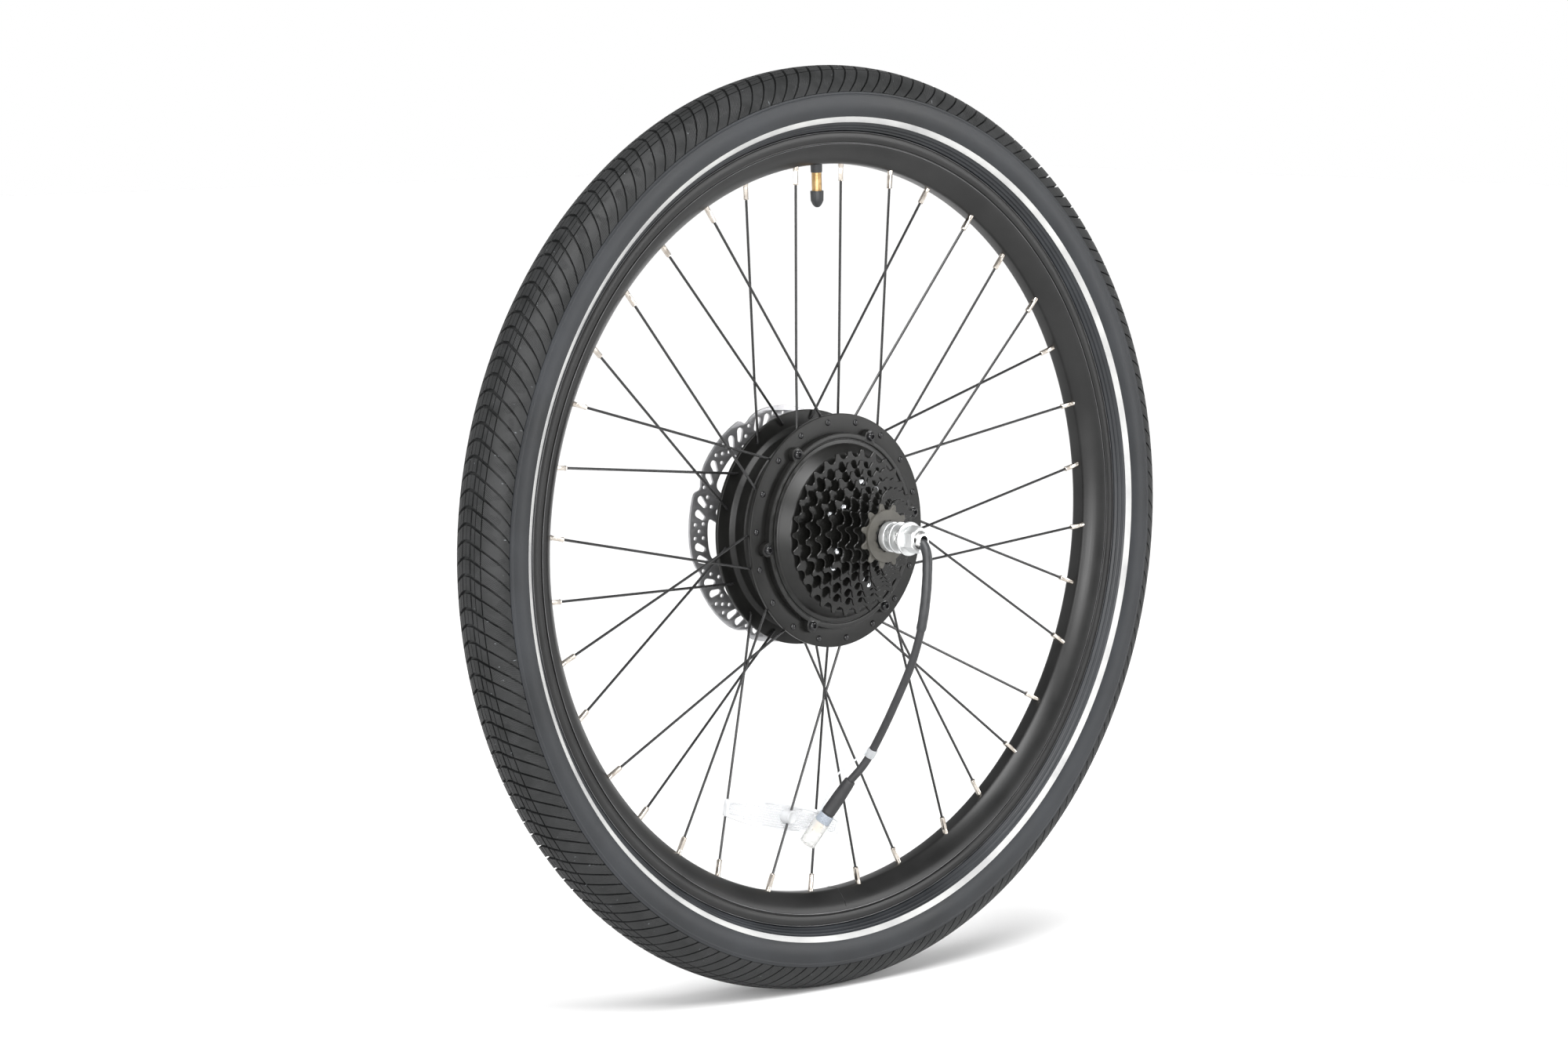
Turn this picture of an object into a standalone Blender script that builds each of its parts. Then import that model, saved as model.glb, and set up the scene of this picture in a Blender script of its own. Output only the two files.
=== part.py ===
"""Rear hub motor wheel of an electric bicycle.

The frame's origin is the wheel's centre, on the axle's axis and in the tyre's middle plane.
The axle lies along Y with the drive side (cassette and motor cable) towards -Y. +Z is up.
All sizes are in metres and all angles in degrees unless a name says otherwise.
"""

import math

import bmesh
import bpy
from mathutils import Matrix, Vector

# ---------------------------------------------------------------- driving dimensions
TYRE_RADIUS = 0.3470
TYRE_HALF_WIDTH = 0.0260
BEAD_RADIUS = 0.2924
RIM_SEAT_RADIUS = 0.2918
RIM_FLANGE_RADIUS = 0.2985
RIM_INNER_RADIUS = 0.2737
RIM_HALF_WIDTH = 0.0155
RIM_FLAT_HALF_WIDTH = 0.0055
RING_STEPS = 40
HUB_STEPS = 36
SMALL_STEPS = 18

SPOKE_COUNT = 36
SPOKE_RADIUS = 0.0010
FIRST_NIPPLE_DEG = 6.8
NIPPLE_PITCH_DEG = 360.0 / SPOKE_COUNT
LACING_OFFSET_DEG = 20.0
SPOKE_CIRCLE_RADIUS = 0.0821
SPOKE_HEAD_RADIUS = 0.0018
SPOKE_HOLE_RADIUS = 0.0014
NIPPLE_RADIUS = 0.0020
NIPPLE_HEAD_RADIUS = 0.0029
NIPPLE_HOLE_RADIUS = 0.0026
NIPPLE_INNER_END = 0.2610
NIPPLE_SHOULDER = 0.2786
NIPPLE_OUTER_END = 0.2815
NIPPLE_Y_DRIVE = -0.0040
NIPPLE_Y_BRAKE = -0.0010
CROSSING_BOW = 0.00065
SPOKE_BEVEL_RESOLUTION = 0
CROSSING_STATION = 5
VALVE_DEG = 91.8
VALVE_RADIUS = 0.0038
VALVE_BORE_RADIUS = 0.0015
VALVE_FOOT_RADIUS = 0.0046
VALVE_FOOT_LOW = 0.2670
VALVE_FOOT_TOP = 0.2722
VALVE_TIP = 0.2510
VALVE_TOP = 0.3040
VALVE_CAP_RADIUS = 0.0049
VALVE_CAP_END = 0.2416
VALVE_CAP_RIM = 0.2540

FLANGE_THICKNESS = 0.0030
DRIVE_FLANGE_Y = -0.0140
DRIVE_FLANGE_RADIUS = 0.0878
BRAKE_FLANGE_Y = 0.0212
BRAKE_FLANGE_RADIUS = 0.0887
BARREL_RADIUS = 0.0740
SHELL_BORE_RADIUS = 0.0700
COVER_SCREW_CIRCLE_RADIUS = 0.0751
COVER_LOBE_RADIUS = 0.0050
COVER_SCREWS = 6

OVER_LOCKNUT = 0.1420
DRIVE_LOCKNUT_Y = -0.0755
BRAKE_LOCKNUT_Y = DRIVE_LOCKNUT_Y + OVER_LOCKNUT
AXLE_THREAD_RADIUS = 0.0059
AXLE_JOURNAL_RADIUS = 0.0070
AXLE_SEAT_RADIUS = 0.0105
AXLE_DRIVE_END = -0.1070
AXLE_BRAKE_END = 0.0985
AXLE_FLAT_HALF = 0.0050
NUT_BORE_RADIUS = 0.0062
NUT_FLANGE_RADIUS = 0.0127
NUT_CORNER_RADIUS = 0.0104
CABLE_BORE_RADIUS = 0.0034

ROTOR_RADIUS = 0.0900
ROTOR_Y = 0.0518
ROTOR_HALF_THICKNESS = 0.0009
ROTOR_ARMS = 8
ROTOR_FIRST_NOTCH_DEG = 23.2
ROTOR_EDGE = ((0.0, 0.0048), (3.2, 0.0006), (16.0, 0.0), (34.0, 0.0006), (41.0, 0.0028))
WINDOW_OUTER_RADIUS = 0.0716
ROTOR_BORE_RADIUS = 0.0180
WINDOW_MIDDLE_RADIUS = 0.0520
WINDOW_INNER_RADIUS = 0.0330

CHAIN_PITCH = 0.0127
SPROCKET_TEETH = (30, 26, 23, 20, 17, 15, 13, 11)
SPROCKET_PITCH = 0.0048
LARGEST_SPROCKET_Y = -0.0315
SPROCKET_HALF_THICKNESS = 0.0009
SPROCKET_BORE_RADIUS = 0.0176
SPROCKET_SHOULDER_RADIUS = 0.0200
SHOULDERED_TEETH = 13
FREEHUB_RADIUS = 0.0172

GEAR_MODULE = 0.00175
SUN_TEETH = 12
PLANET_TEETH = 24
RING_TEETH = SUN_TEETH + 2 * PLANET_TEETH
PLANET_COUNT = 3
PRESSURE_ANGLE = math.radians(20.0)
GEAR_BACKLASH = 0.00028
PLANET_CENTRE_RADIUS = GEAR_MODULE * (SUN_TEETH + PLANET_TEETH) / 2
GEAR_DRIVE_Y = -0.0195
GEAR_MOTOR_Y = -0.0078

STATOR_TEETH = 12
STATOR_RADIUS = 0.0500
MAGNET_INNER_RADIUS = 0.0510
GAP = 0.0003

CABLE_RADIUS = 0.0030
CABLE_ROUTE = (
    (0.0000, -0.0940, 0.0000),
    (-0.0001, -0.1012, -0.0003),
    (-0.0003, -0.1070, -0.0036),
    (-0.0010, -0.1112, -0.0105),
    (-0.0022, -0.1128, -0.0215),
    (-0.0035, -0.1133, -0.0350),
    (-0.0045, -0.1124, -0.0490),
    (-0.0050, -0.1099, -0.0630),
    (-0.0054, -0.1060, -0.0765),
    (-0.0058, -0.1008, -0.0905),
    (-0.0063, -0.0940, -0.1045),
    (-0.0068, -0.0855, -0.1200),
    (-0.0075, -0.0740, -0.1400),
    (-0.0095, -0.0610, -0.1620),
    (-0.0125, -0.0545, -0.1730),
    (-0.0178, -0.0470, -0.1838),
)
CONNECTOR_END = Vector((-0.0275, -0.0335, -0.2085))
CAP_END = Vector((-0.0368, -0.0203, -0.2322))
CAP_RADIUS = 0.0064
STRAP_BULGE = (
    (0.00, 0.0042), (0.15, 0.0068), (0.30, 0.0096), (0.46, 0.0118), (0.64, 0.0106), (0.82, 0.0087), (0.96, 0.0080),
)
TETHER_STATION = 13
TETHER_SIDE = Vector((-0.75, 0.45, 0.25))
STRAP_RADIUS = 0.0012

REFLECTOR_LEFT = Vector((-0.1015, 0.0, -0.2000))
REFLECTOR_RIGHT = Vector((0.0145, 0.0, -0.2275))
REFLECTOR_HALF_THICKNESS = 0.0024
REFLECTOR_HALF_HEIGHT = 0.0114
REFLECTOR_END_HALF_HEIGHT = 0.0062
GRIPPED_SPOKE_DEG = 256.8
CLIP_CENTRE_RADIUS = 0.2178
CLIP_RADIUS = 0.0054

COLOURS = {
    "tyre_rubber": ((0.035, 0.036, 0.038), 0.75, 0.0),
    "tube_rubber": ((0.02, 0.02, 0.02), 0.6, 0.0),
    "black_anodised": ((0.022, 0.022, 0.024), 0.38, 0.6),
    "black_steel": ((0.015, 0.015, 0.016), 0.25, 0.8),
    "grey_steel": ((0.10, 0.10, 0.10), 0.5, 0.8),
    "bright_steel": ((0.62, 0.62, 0.62), 0.25, 1.0),
    "zinc_plate": ((0.72, 0.72, 0.72), 0.4, 0.9),
    "brass": ((0.62, 0.45, 0.22), 0.3, 1.0),
    "copper": ((0.72, 0.36, 0.18), 0.35, 1.0),
    "magnet": ((0.35, 0.35, 0.36), 0.35, 0.9),
    "gear_nylon": ((0.80, 0.78, 0.70), 0.5, 0.0),
    "black_plastic": ((0.02, 0.02, 0.02), 0.45, 0.0),
    "cable_jacket": ((0.05, 0.05, 0.052), 0.55, 0.0),
    "clear_plastic": ((0.85, 0.88, 0.90), 0.15, 0.0),
}


# ---------------------------------------------------------------- scene, materials and helpers
def clear_scene():
    for item in list(bpy.data.objects):
        bpy.data.objects.remove(item, do_unlink=True)


def make_collection(name):
    collection = bpy.data.collections.new(name)
    bpy.context.scene.collection.children.link(collection)
    return collection


def material(name):
    found = bpy.data.materials.get(name)
    if found:
        return found
    colour, roughness, metallic = COLOURS[name]
    made = bpy.data.materials.new(name)
    made.use_nodes = True
    shader = made.node_tree.nodes["Principled BSDF"]
    shader.inputs["Base Color"].default_value = (*colour, 1.0)
    shader.inputs["Roughness"].default_value = roughness
    shader.inputs["Metallic"].default_value = metallic
    made.diffuse_color = (*colour, 1.0)
    return made


def polar(radius, angle_deg, y=0.0):
    """A point at an angle in the wheel's plane, counted from +X towards +Z."""
    angle = math.radians(angle_deg)
    return Vector((radius * math.cos(angle), y, radius * math.sin(angle)))


def add_object(name, mesh, look):
    item = bpy.data.objects.new(name, mesh)
    PARTS.objects.link(item)
    mesh.materials.clear()
    mesh.materials.append(material(look))
    return item


def evaluated_mesh(item):
    graph = bpy.context.evaluated_depsgraph_get()
    graph.update()
    mesh = bpy.data.meshes.new_from_object(item.evaluated_get(graph))
    mesh.transform(item.matrix_world)
    return mesh


def tidy(mesh, turn_outwards=True, smooth_deg=35.0):
    """Welds the mesh, turns a single shell's faces outwards and shades its round parts smooth."""
    work = bmesh.new()
    work.from_mesh(mesh)
    bmesh.ops.remove_doubles(work, verts=work.verts, dist=0.000002)
    if turn_outwards:
        bmesh.ops.recalc_face_normals(work, faces=work.faces)
    work.to_mesh(mesh)
    work.free()
    mesh.shade_smooth()
    mesh.set_sharp_from_angle(angle=math.radians(smooth_deg))


def bake(item, name, look):
    """Replaces an object with its evaluated, welded mesh in world space."""
    mesh = evaluated_mesh(item)
    bpy.data.objects.remove(item, do_unlink=True)
    tidy(mesh)
    mesh.name = name
    return add_object(name, mesh, look)


def turned(name, profile, look, steps=HUB_STEPS):
    """Turns a closed outline of (radius, y) points about the Y axis."""
    mesh = bpy.data.meshes.new(name)
    count = len(profile)
    mesh.from_pydata([(r, y, 0.0) for r, y in profile], [(i, (i + 1) % count) for i in range(count)], [])
    item = bpy.data.objects.new(name + "_profile", mesh)
    PARTS.objects.link(item)
    screw = item.modifiers.new("turn", "SCREW")
    screw.axis = "Y"
    screw.angle = 2 * math.pi
    screw.steps = steps
    screw.render_steps = steps
    screw.use_merge_vertices = True
    screw.merge_threshold = 0.00001
    bpy.context.view_layer.update()
    return bake(item, name, look)


def ring(name, inner, outer, y_low, y_high, look, steps=HUB_STEPS):
    return turned(name, [(inner, y_low), (outer, y_low), (outer, y_high), (inner, y_high)], look, steps)


def rod(name, start, end, radius, look, sides=SMALL_STEPS, end_radius=None):
    """A straight cylinder or cone between two points."""
    start, end = Vector(start), Vector(end)
    along = end - start
    work = bmesh.new()
    bmesh.ops.create_cone(
        work,
        cap_ends=True,
        segments=sides,
        radius1=radius,
        radius2=radius if end_radius is None else end_radius,
        depth=along.length,
    )
    turn = along.to_track_quat("Z", "Y").to_matrix().to_4x4()
    bmesh.ops.transform(work, matrix=Matrix.Translation((start + end) / 2) @ turn, verts=work.verts)
    mesh = bpy.data.meshes.new(name)
    work.to_mesh(mesh)
    work.free()
    tidy(mesh)
    return add_object(name, mesh, look)


def block(name, centre, size, look, turn=Matrix.Identity(4)):
    work = bmesh.new()
    bmesh.ops.create_cube(work, size=1.0)
    place = Matrix.Translation(centre) @ turn @ Matrix.Diagonal((*size, 1.0))
    bmesh.ops.transform(work, matrix=place, verts=work.verts)
    mesh = bpy.data.meshes.new(name)
    work.to_mesh(mesh)
    work.free()
    tidy(mesh)
    return add_object(name, mesh, look)


def merged(name, items):
    """One cutter out of several that don't touch each other."""
    work = bmesh.new()
    for item in items:
        work.from_mesh(item.data)
        bpy.data.objects.remove(item, do_unlink=True)
    mesh = bpy.data.meshes.new(name)
    work.to_mesh(mesh)
    work.free()
    return add_object(name, mesh, "black_steel")


def combine(target, tool, operation):
    """Cuts the target with a tool or joins them, and removes the tool."""
    name = target.name
    look = target.data.materials[0].name
    step = target.modifiers.new(operation.lower(), "BOOLEAN")
    step.operation = operation
    step.solver = "EXACT"
    step.object = tool
    CUTTERS.objects.link(tool)
    PARTS.objects.unlink(tool)
    tool.hide_render = True
    tool.display_type = "WIRE"
    bpy.context.view_layer.update()
    mesh = evaluated_mesh(target)
    bpy.data.objects.remove(target, do_unlink=True)
    bpy.data.objects.remove(tool, do_unlink=True)
    tidy(mesh, turn_outwards=False)
    mesh.name = name
    return add_object(name, mesh, look)


def cut(target, tool):
    return combine(target, tool, "DIFFERENCE")


def join(target, tool):
    return combine(target, tool, "UNION")


def plate(name, outlines, y_low, y_high, look):
    """A flat plate in the wheel's plane from closed outlines of (x, z) points, the first the outer one."""
    curve = bpy.data.curves.new(name, "CURVE")
    curve.dimensions = "2D"
    curve.fill_mode = "BOTH"
    curve.extrude = (y_high - y_low) / 2
    curve.render_resolution_u = 0
    for outline in outlines:
        spline = curve.splines.new("POLY")
        spline.points.add(len(outline) - 1)
        for point, (x, z) in zip(spline.points, outline):
            point.co = (x, z, 0.0, 1.0)
        spline.use_cyclic_u = True
    item = bpy.data.objects.new(name + "_outline", curve)
    PARTS.objects.link(item)
    item.location = (0.0, (y_low + y_high) / 2, 0.0)
    item.rotation_euler = (math.pi / 2, 0.0, 0.0)
    bpy.context.view_layer.update()
    return bake(item, name, look)


def circle_points(radius, count, centre=(0.0, 0.0), start_deg=0.0):
    points = []
    for step in range(count):
        angle = math.radians(start_deg + 360.0 * step / count)
        points.append((centre[0] + radius * math.cos(angle), centre[1] + radius * math.sin(angle)))
    return points


def tube(name, stations, look, resolution=1):
    """A solid along (point, radius) stations; resolution is Blender's bevel resolution."""
    curve = bpy.data.curves.new(name, "CURVE")
    curve.dimensions = "3D"
    curve.bevel_depth = 1.0
    curve.bevel_resolution = resolution
    curve.use_fill_caps = True
    curve.render_resolution_u = 0
    spline = curve.splines.new("POLY")
    spline.points.add(len(stations) - 1)
    for point, (place, radius) in zip(spline.points, stations):
        point.co = (*place, 1.0)
        point.radius = radius
    item = bpy.data.objects.new(name + "_path", curve)
    PARTS.objects.link(item)
    bpy.context.view_layer.update()
    return bake(item, name, look)


def smooth_path(points, steps):
    """Catmull-Rom points through a route, with its ends."""
    route = [Vector(p) for p in points]
    padded = [2 * route[0] - route[1]] + route + [2 * route[-1] - route[-2]]
    path = []
    for a, b, c, d in zip(padded, padded[1:], padded[2:], padded[3:]):
        for step in range(steps):
            t = step / steps
            path.append(0.5 * ((2 * b) + (c - a) * t + (2 * a - 5 * b + 4 * c - d) * t * t
                               + (3 * b - a - 3 * c + d) * t ** 3))
    path.append(route[-1])
    return path


# ---------------------------------------------------------------- tyre, tube, rim and valve
def mirrored(half):
    """A closed outline from its half at y > 0, given from one middle point to the other."""
    other = [(r, -y) for r, y in reversed(half) if abs(y) > 1e-9]
    return half + other


def make_tyre():
    outer = [
        (TYRE_RADIUS, 0.0),
        (0.3425, 0.0150),
        (0.3330, 0.0235),
        (0.3190, TYRE_HALF_WIDTH),
        (0.3060, 0.0222),
        (0.2990, 0.0127),
        (BEAD_RADIUS, 0.0126),
    ]
    inner = [
        (BEAD_RADIUS, 0.0095),
        (0.2960, 0.0098),
        (0.3075, 0.0195),
        (0.3195, 0.0230),
        (0.3320, 0.0200),
        (0.3415, 0.0),
    ]
    return turned("tyre", mirrored(outer + inner), "tyre_rubber", RING_STEPS)


def section_ring(name, centre_radius, half_height, half_width, look, points=8, steps=30):
    """A torus with an oval section."""
    outline = []
    for step in range(points):
        angle = 2 * math.pi * (step + 0.5) / points
        outline.append((centre_radius + half_height * math.cos(angle), half_width * math.sin(angle)))
    return turned(name, outline, look, steps)


def make_inner_tube():
    wall = 0.0010
    tube_ring = section_ring("inner_tube", 0.3180, 0.0160, 0.0165, "tube_rubber")
    hollow = section_ring("tube_hollow", 0.3180, 0.0160 - wall, 0.0165 - wall, "tube_rubber")
    tube_ring = cut(tube_ring, hollow)
    hole = rod("valve_cut", polar(0.2960, VALVE_DEG), polar(0.3100, VALVE_DEG), 0.0046, "tube_rubber", 8)
    return cut(tube_ring, hole)


def make_rim():
    outline = [
        (RIM_INNER_RADIUS, RIM_FLAT_HALF_WIDTH),
        (0.2765, 0.0105),
        (0.2830, 0.0150),
        (RIM_FLANGE_RADIUS, RIM_HALF_WIDTH),
        (RIM_FLANGE_RADIUS, 0.0130),
        (RIM_SEAT_RADIUS, 0.0130),
        (0.2890, 0.0058),
    ]
    full = outline + [(r, -y) for r, y in reversed(outline)]
    rim = turned("rim", full, "black_anodised", RING_STEPS)
    hollow = [(0.2760, 0.0048), (0.2785, 0.0095), (0.2840, 0.0130), (0.2873, 0.0060)]
    cavity = turned("rim_hollow", hollow + [(r, -y) for r, y in reversed(hollow)], "black_anodised", RING_STEPS)
    rim = cut(rim, cavity)
    holes = []
    for _, stations in spoke_pairs():
        for run in stations:
            end = run[-1][0]
            along = (end - run[CROSSING_STATION][0]).normalized()
            holes.append(rod("hole", end - along * 0.0120, end, NIPPLE_HOLE_RADIUS, "black_steel", 6))
    rim = cut(rim, merged("nipple_holes", holes))
    valve_hole = rod("hole", polar(0.2700, VALVE_DEG), polar(0.2960, VALVE_DEG), 0.0044, "black_steel", 10)
    return cut(rim, valve_hole)


def make_valve():
    """The stem with its foot under the rim and its bore, and the cap screwed on its inner end."""

    def valve_rod(name, low, high, radius, look, sides=12):
        return rod(name, polar(low, VALVE_DEG), polar(high, VALVE_DEG), radius, look, sides)

    foot = valve_rod("valve_stem", VALVE_FOOT_LOW, VALVE_FOOT_TOP, VALVE_FOOT_RADIUS, "brass")
    foot = join(foot, valve_rod("stem", VALVE_TIP, VALVE_TOP, VALVE_RADIUS, "brass"))
    cut(foot, valve_rod("bore", VALVE_TIP - 0.002, VALVE_TOP + 0.002, VALVE_BORE_RADIUS, "brass", 8))
    cap = valve_rod("valve_cap", VALVE_CAP_END, VALVE_CAP_RIM, VALVE_CAP_RADIUS, "black_plastic")
    socket_end = VALVE_CAP_END + 0.0034
    cut(cap, valve_rod("socket", socket_end, VALVE_CAP_RIM + 0.002, VALVE_RADIUS + 0.0004, "black_plastic"))


# ---------------------------------------------------------------- spokes
def spoke_stations(nipple_deg, hole_deg, side, bow):
    """Stations of a spoke with its head and nipple; side is -1 on the drive flange and +1 on the brake one."""
    if side < 0:
        outer_face = DRIVE_FLANGE_Y
        inward = 1.0
        nipple_y = NIPPLE_Y_DRIVE
    else:
        outer_face = BRAKE_FLANGE_Y + FLANGE_THICKNESS
        inward = -1.0
        nipple_y = NIPPLE_Y_BRAKE
    elbow_y = outer_face + inward * (FLANGE_THICKNESS + SPOKE_RADIUS + GAP)
    hole = polar(SPOKE_CIRCLE_RADIUS, hole_deg)
    elbow = Vector((hole.x, elbow_y, hole.z))
    end = polar(NIPPLE_OUTER_END, nipple_deg, nipple_y)
    direction = (end - elbow).normalized()
    cross_share = SPOKE_CIRCLE_RADIUS / (SPOKE_CIRCLE_RADIUS + NIPPLE_OUTER_END)
    crossing = elbow.lerp(end, cross_share) + Vector((0.0, bow, 0.0))
    last = (end - crossing).normalized()

    def along(radius):
        """The point of the last straight run at a distance from the axle's axis."""
        share = (radius - crossing.xz.length) / (end.xz.length - crossing.xz.length)
        return crossing.lerp(end, share)

    head_top = outer_face - inward * (GAP + 0.0009)
    head_foot = outer_face - inward * GAP
    tiny = last * 0.00005
    return [
        (Vector((hole.x, head_top, hole.z)), SPOKE_HEAD_RADIUS * 0.8),
        (Vector((hole.x, head_foot, hole.z)), SPOKE_HEAD_RADIUS),
        (Vector((hole.x, head_foot + inward * 0.00005, hole.z)), SPOKE_RADIUS),
        (Vector((hole.x, elbow_y - inward * 0.0006, hole.z)), SPOKE_RADIUS),
        (elbow + direction * 0.0010, SPOKE_RADIUS),
        (crossing, SPOKE_RADIUS),
        (along(NIPPLE_INNER_END), SPOKE_RADIUS),
        (along(NIPPLE_INNER_END) + tiny, NIPPLE_RADIUS),
        (along(NIPPLE_SHOULDER), NIPPLE_RADIUS),
        (along(NIPPLE_SHOULDER) + tiny, NIPPLE_HEAD_RADIUS),
        (end, NIPPLE_RADIUS),
    ]


def spoke_pairs():
    """Name and the two lists of stations of each pair of spokes that cross."""
    pairs = []
    for pair in range(SPOKE_COUNT // 2):
        side = 1 if pair % 2 else -1
        group = pair // 2
        leading = FIRST_NIPPLE_DEG + NIPPLE_PITCH_DEG * (4 * group + (1 if side < 0 else 2))
        trailing = leading + LACING_OFFSET_DEG
        flange = "drive" if side < 0 else "brake"
        first = spoke_stations(leading, trailing, side, CROSSING_BOW)
        second = spoke_stations(trailing, leading, side, -CROSSING_BOW)
        pairs.append((f"{flange}_spoke_pair_{group + 1}", (first, second)))
    return pairs


def make_spokes():
    """Each crossing pair of spokes touches where it crosses and is one solid."""
    for name, (first, second) in spoke_pairs():
        spoke = tube(name, first, "black_steel", SPOKE_BEVEL_RESOLUTION)
        join(spoke, tube("second", second, "black_steel", SPOKE_BEVEL_RESOLUTION))


# ---------------------------------------------------------------- hub shell, cover, disc
def flange_holes(y_low, y_high, phase_deg):
    rods = []
    for index in range(SPOKE_COUNT // 2):
        angle = phase_deg + LACING_OFFSET_DEG * index
        start = polar(SPOKE_CIRCLE_RADIUS, angle, y_low)
        end = polar(SPOKE_CIRCLE_RADIUS, angle, y_high)
        rods.append(rod("hole", start, end, SPOKE_HOLE_RADIUS, "black_steel", 6))
    return rods


def make_hub_shell():
    drive_inner = DRIVE_FLANGE_Y + FLANGE_THICKNESS
    brake_outer = BRAKE_FLANGE_Y + FLANGE_THICKNESS
    profile = [
        (SHELL_BORE_RADIUS, DRIVE_FLANGE_Y),
        (DRIVE_FLANGE_RADIUS, DRIVE_FLANGE_Y),
        (DRIVE_FLANGE_RADIUS, drive_inner),
        (BARREL_RADIUS, drive_inner),
        (BARREL_RADIUS, BRAKE_FLANGE_Y),
        (BRAKE_FLANGE_RADIUS, BRAKE_FLANGE_Y),
        (BRAKE_FLANGE_RADIUS, brake_outer),
        (0.0765, brake_outer),
        (0.0700, 0.0330),
        (0.0300, 0.0455),
        (0.0265, 0.0506),
        (0.0144, 0.0506),
        (0.0144, 0.0425),
        (0.0105, 0.0425),
        (0.0105, 0.0392),
        (0.0300, 0.0392),
        (0.0660, 0.0292),
        (SHELL_BORE_RADIUS, 0.0235),
    ]
    shell = turned("hub_shell", profile, "black_anodised")
    holes = flange_holes(DRIVE_FLANGE_Y - 0.002, drive_inner + 0.002, FIRST_NIPPLE_DEG + NIPPLE_PITCH_DEG)
    holes += flange_holes(BRAKE_FLANGE_Y - 0.002, brake_outer + 0.002, FIRST_NIPPLE_DEG)
    return cut(shell, merged("spoke_holes", holes))


def make_side_cover():
    face = DRIVE_FLANGE_Y - GAP
    profile = [
        (0.0112, -0.0238),
        (0.0112, -0.0365),
        (0.0090, -0.0365),
        (0.0090, -0.0400),
        (0.0140, -0.0400),
        (0.0140, -0.0275),
        (0.0590, -0.0275),
        (0.0655, -0.0190),
        (0.0735, -0.0184),
        (0.0735, face),
        (0.0696, face),
        (0.0696, -0.0105),
        (0.0576, -0.0105),
        (0.0576, -0.0238),
    ]
    cover = turned("side_cover", profile, "black_anodised")
    for index in range(COVER_SCREWS):
        angle = FIRST_NIPPLE_DEG + 360.0 * index / COVER_SCREWS
        low = polar(COVER_SCREW_CIRCLE_RADIUS, angle, -0.0188)
        high = polar(COVER_SCREW_CIRCLE_RADIUS, angle, face)
        cover = join(cover, rod("lobe", low, high, COVER_LOBE_RADIUS, "black_anodised", 10))
    return cover


def make_brake_disc():
    """Stepped outer edge, swept windows between the arms, and a bore that fits the hub's boss."""
    pitch = 360.0 / ROTOR_ARMS
    outer = []
    windows = []
    for index in range(ROTOR_ARMS):
        start = ROTOR_FIRST_NOTCH_DEG + pitch * index
        for offset, depth in ROTOR_EDGE:
            outer.append(polar(ROTOR_RADIUS - depth, start + offset))
        window = [polar(WINDOW_OUTER_RADIUS, start + offset) for offset in (14.0, 23.0, 32.0, 40.0)]
        window.append(polar(WINDOW_MIDDLE_RADIUS, start + 46.0))
        window += [polar(WINDOW_INNER_RADIUS, start + offset) for offset in (53.0, 46.0, 39.0)]
        window.append(polar(WINDOW_MIDDLE_RADIUS, start + 23.0))
        windows.append([(p.x, p.z) for p in window])
    rim = [(p.x, p.z) for p in outer]
    bore = circle_points(ROTOR_BORE_RADIUS, 24)
    return plate("brake_rotor", [rim, bore] + windows, ROTOR_Y - ROTOR_HALF_THICKNESS,
                 ROTOR_Y + ROTOR_HALF_THICKNESS, "bright_steel")


# ---------------------------------------------------------------- axle, nuts and bearings
def make_axle():
    profile = [
        (0.0, AXLE_DRIVE_END),
        (AXLE_THREAD_RADIUS - 0.0008, AXLE_DRIVE_END),
        (AXLE_THREAD_RADIUS, AXLE_DRIVE_END + 0.0008),
        (AXLE_THREAD_RADIUS, -0.0695),
        (AXLE_JOURNAL_RADIUS, -0.0690),
        (AXLE_JOURNAL_RADIUS, -0.0010),
        (AXLE_SEAT_RADIUS, -0.0010),
        (AXLE_SEAT_RADIUS, 0.0365),
        (AXLE_JOURNAL_RADIUS, 0.0365),
        (AXLE_JOURNAL_RADIUS, 0.0600),
        (AXLE_THREAD_RADIUS, 0.0605),
        (AXLE_THREAD_RADIUS, AXLE_BRAKE_END - 0.0008),
        (AXLE_THREAD_RADIUS - 0.0008, AXLE_BRAKE_END),
        (0.0, AXLE_BRAKE_END),
    ]
    axle = turned("axle", profile, "bright_steel", SMALL_STEPS)
    for y_low, y_high in ((AXLE_DRIVE_END - 0.001, -0.0700), (0.0620, AXLE_BRAKE_END + 0.001)):
        for side in (-1, 1):
            centre = Vector((side * (AXLE_FLAT_HALF + 0.005), (y_low + y_high) / 2, 0.0))
            axle = cut(axle, block("flat", centre, (0.010, y_high - y_low, 0.02), "bright_steel"))
    bore_start = (0.0, AXLE_DRIVE_END - 0.001, 0.0)
    bore = rod("bore", bore_start, (0.0, -0.0300, 0.0), CABLE_BORE_RADIUS, "bright_steel", 12)
    axle = cut(axle, bore)
    slot_low = AXLE_DRIVE_END - 0.001
    slot_high = AXLE_DRIVE_END + 0.0110
    slot = block("slot", Vector((0.0, (slot_low + slot_high) / 2, -0.005)),
                 (2 * CABLE_BORE_RADIUS, slot_high - slot_low, 0.010), "bright_steel")
    return cut(axle, slot)


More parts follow.
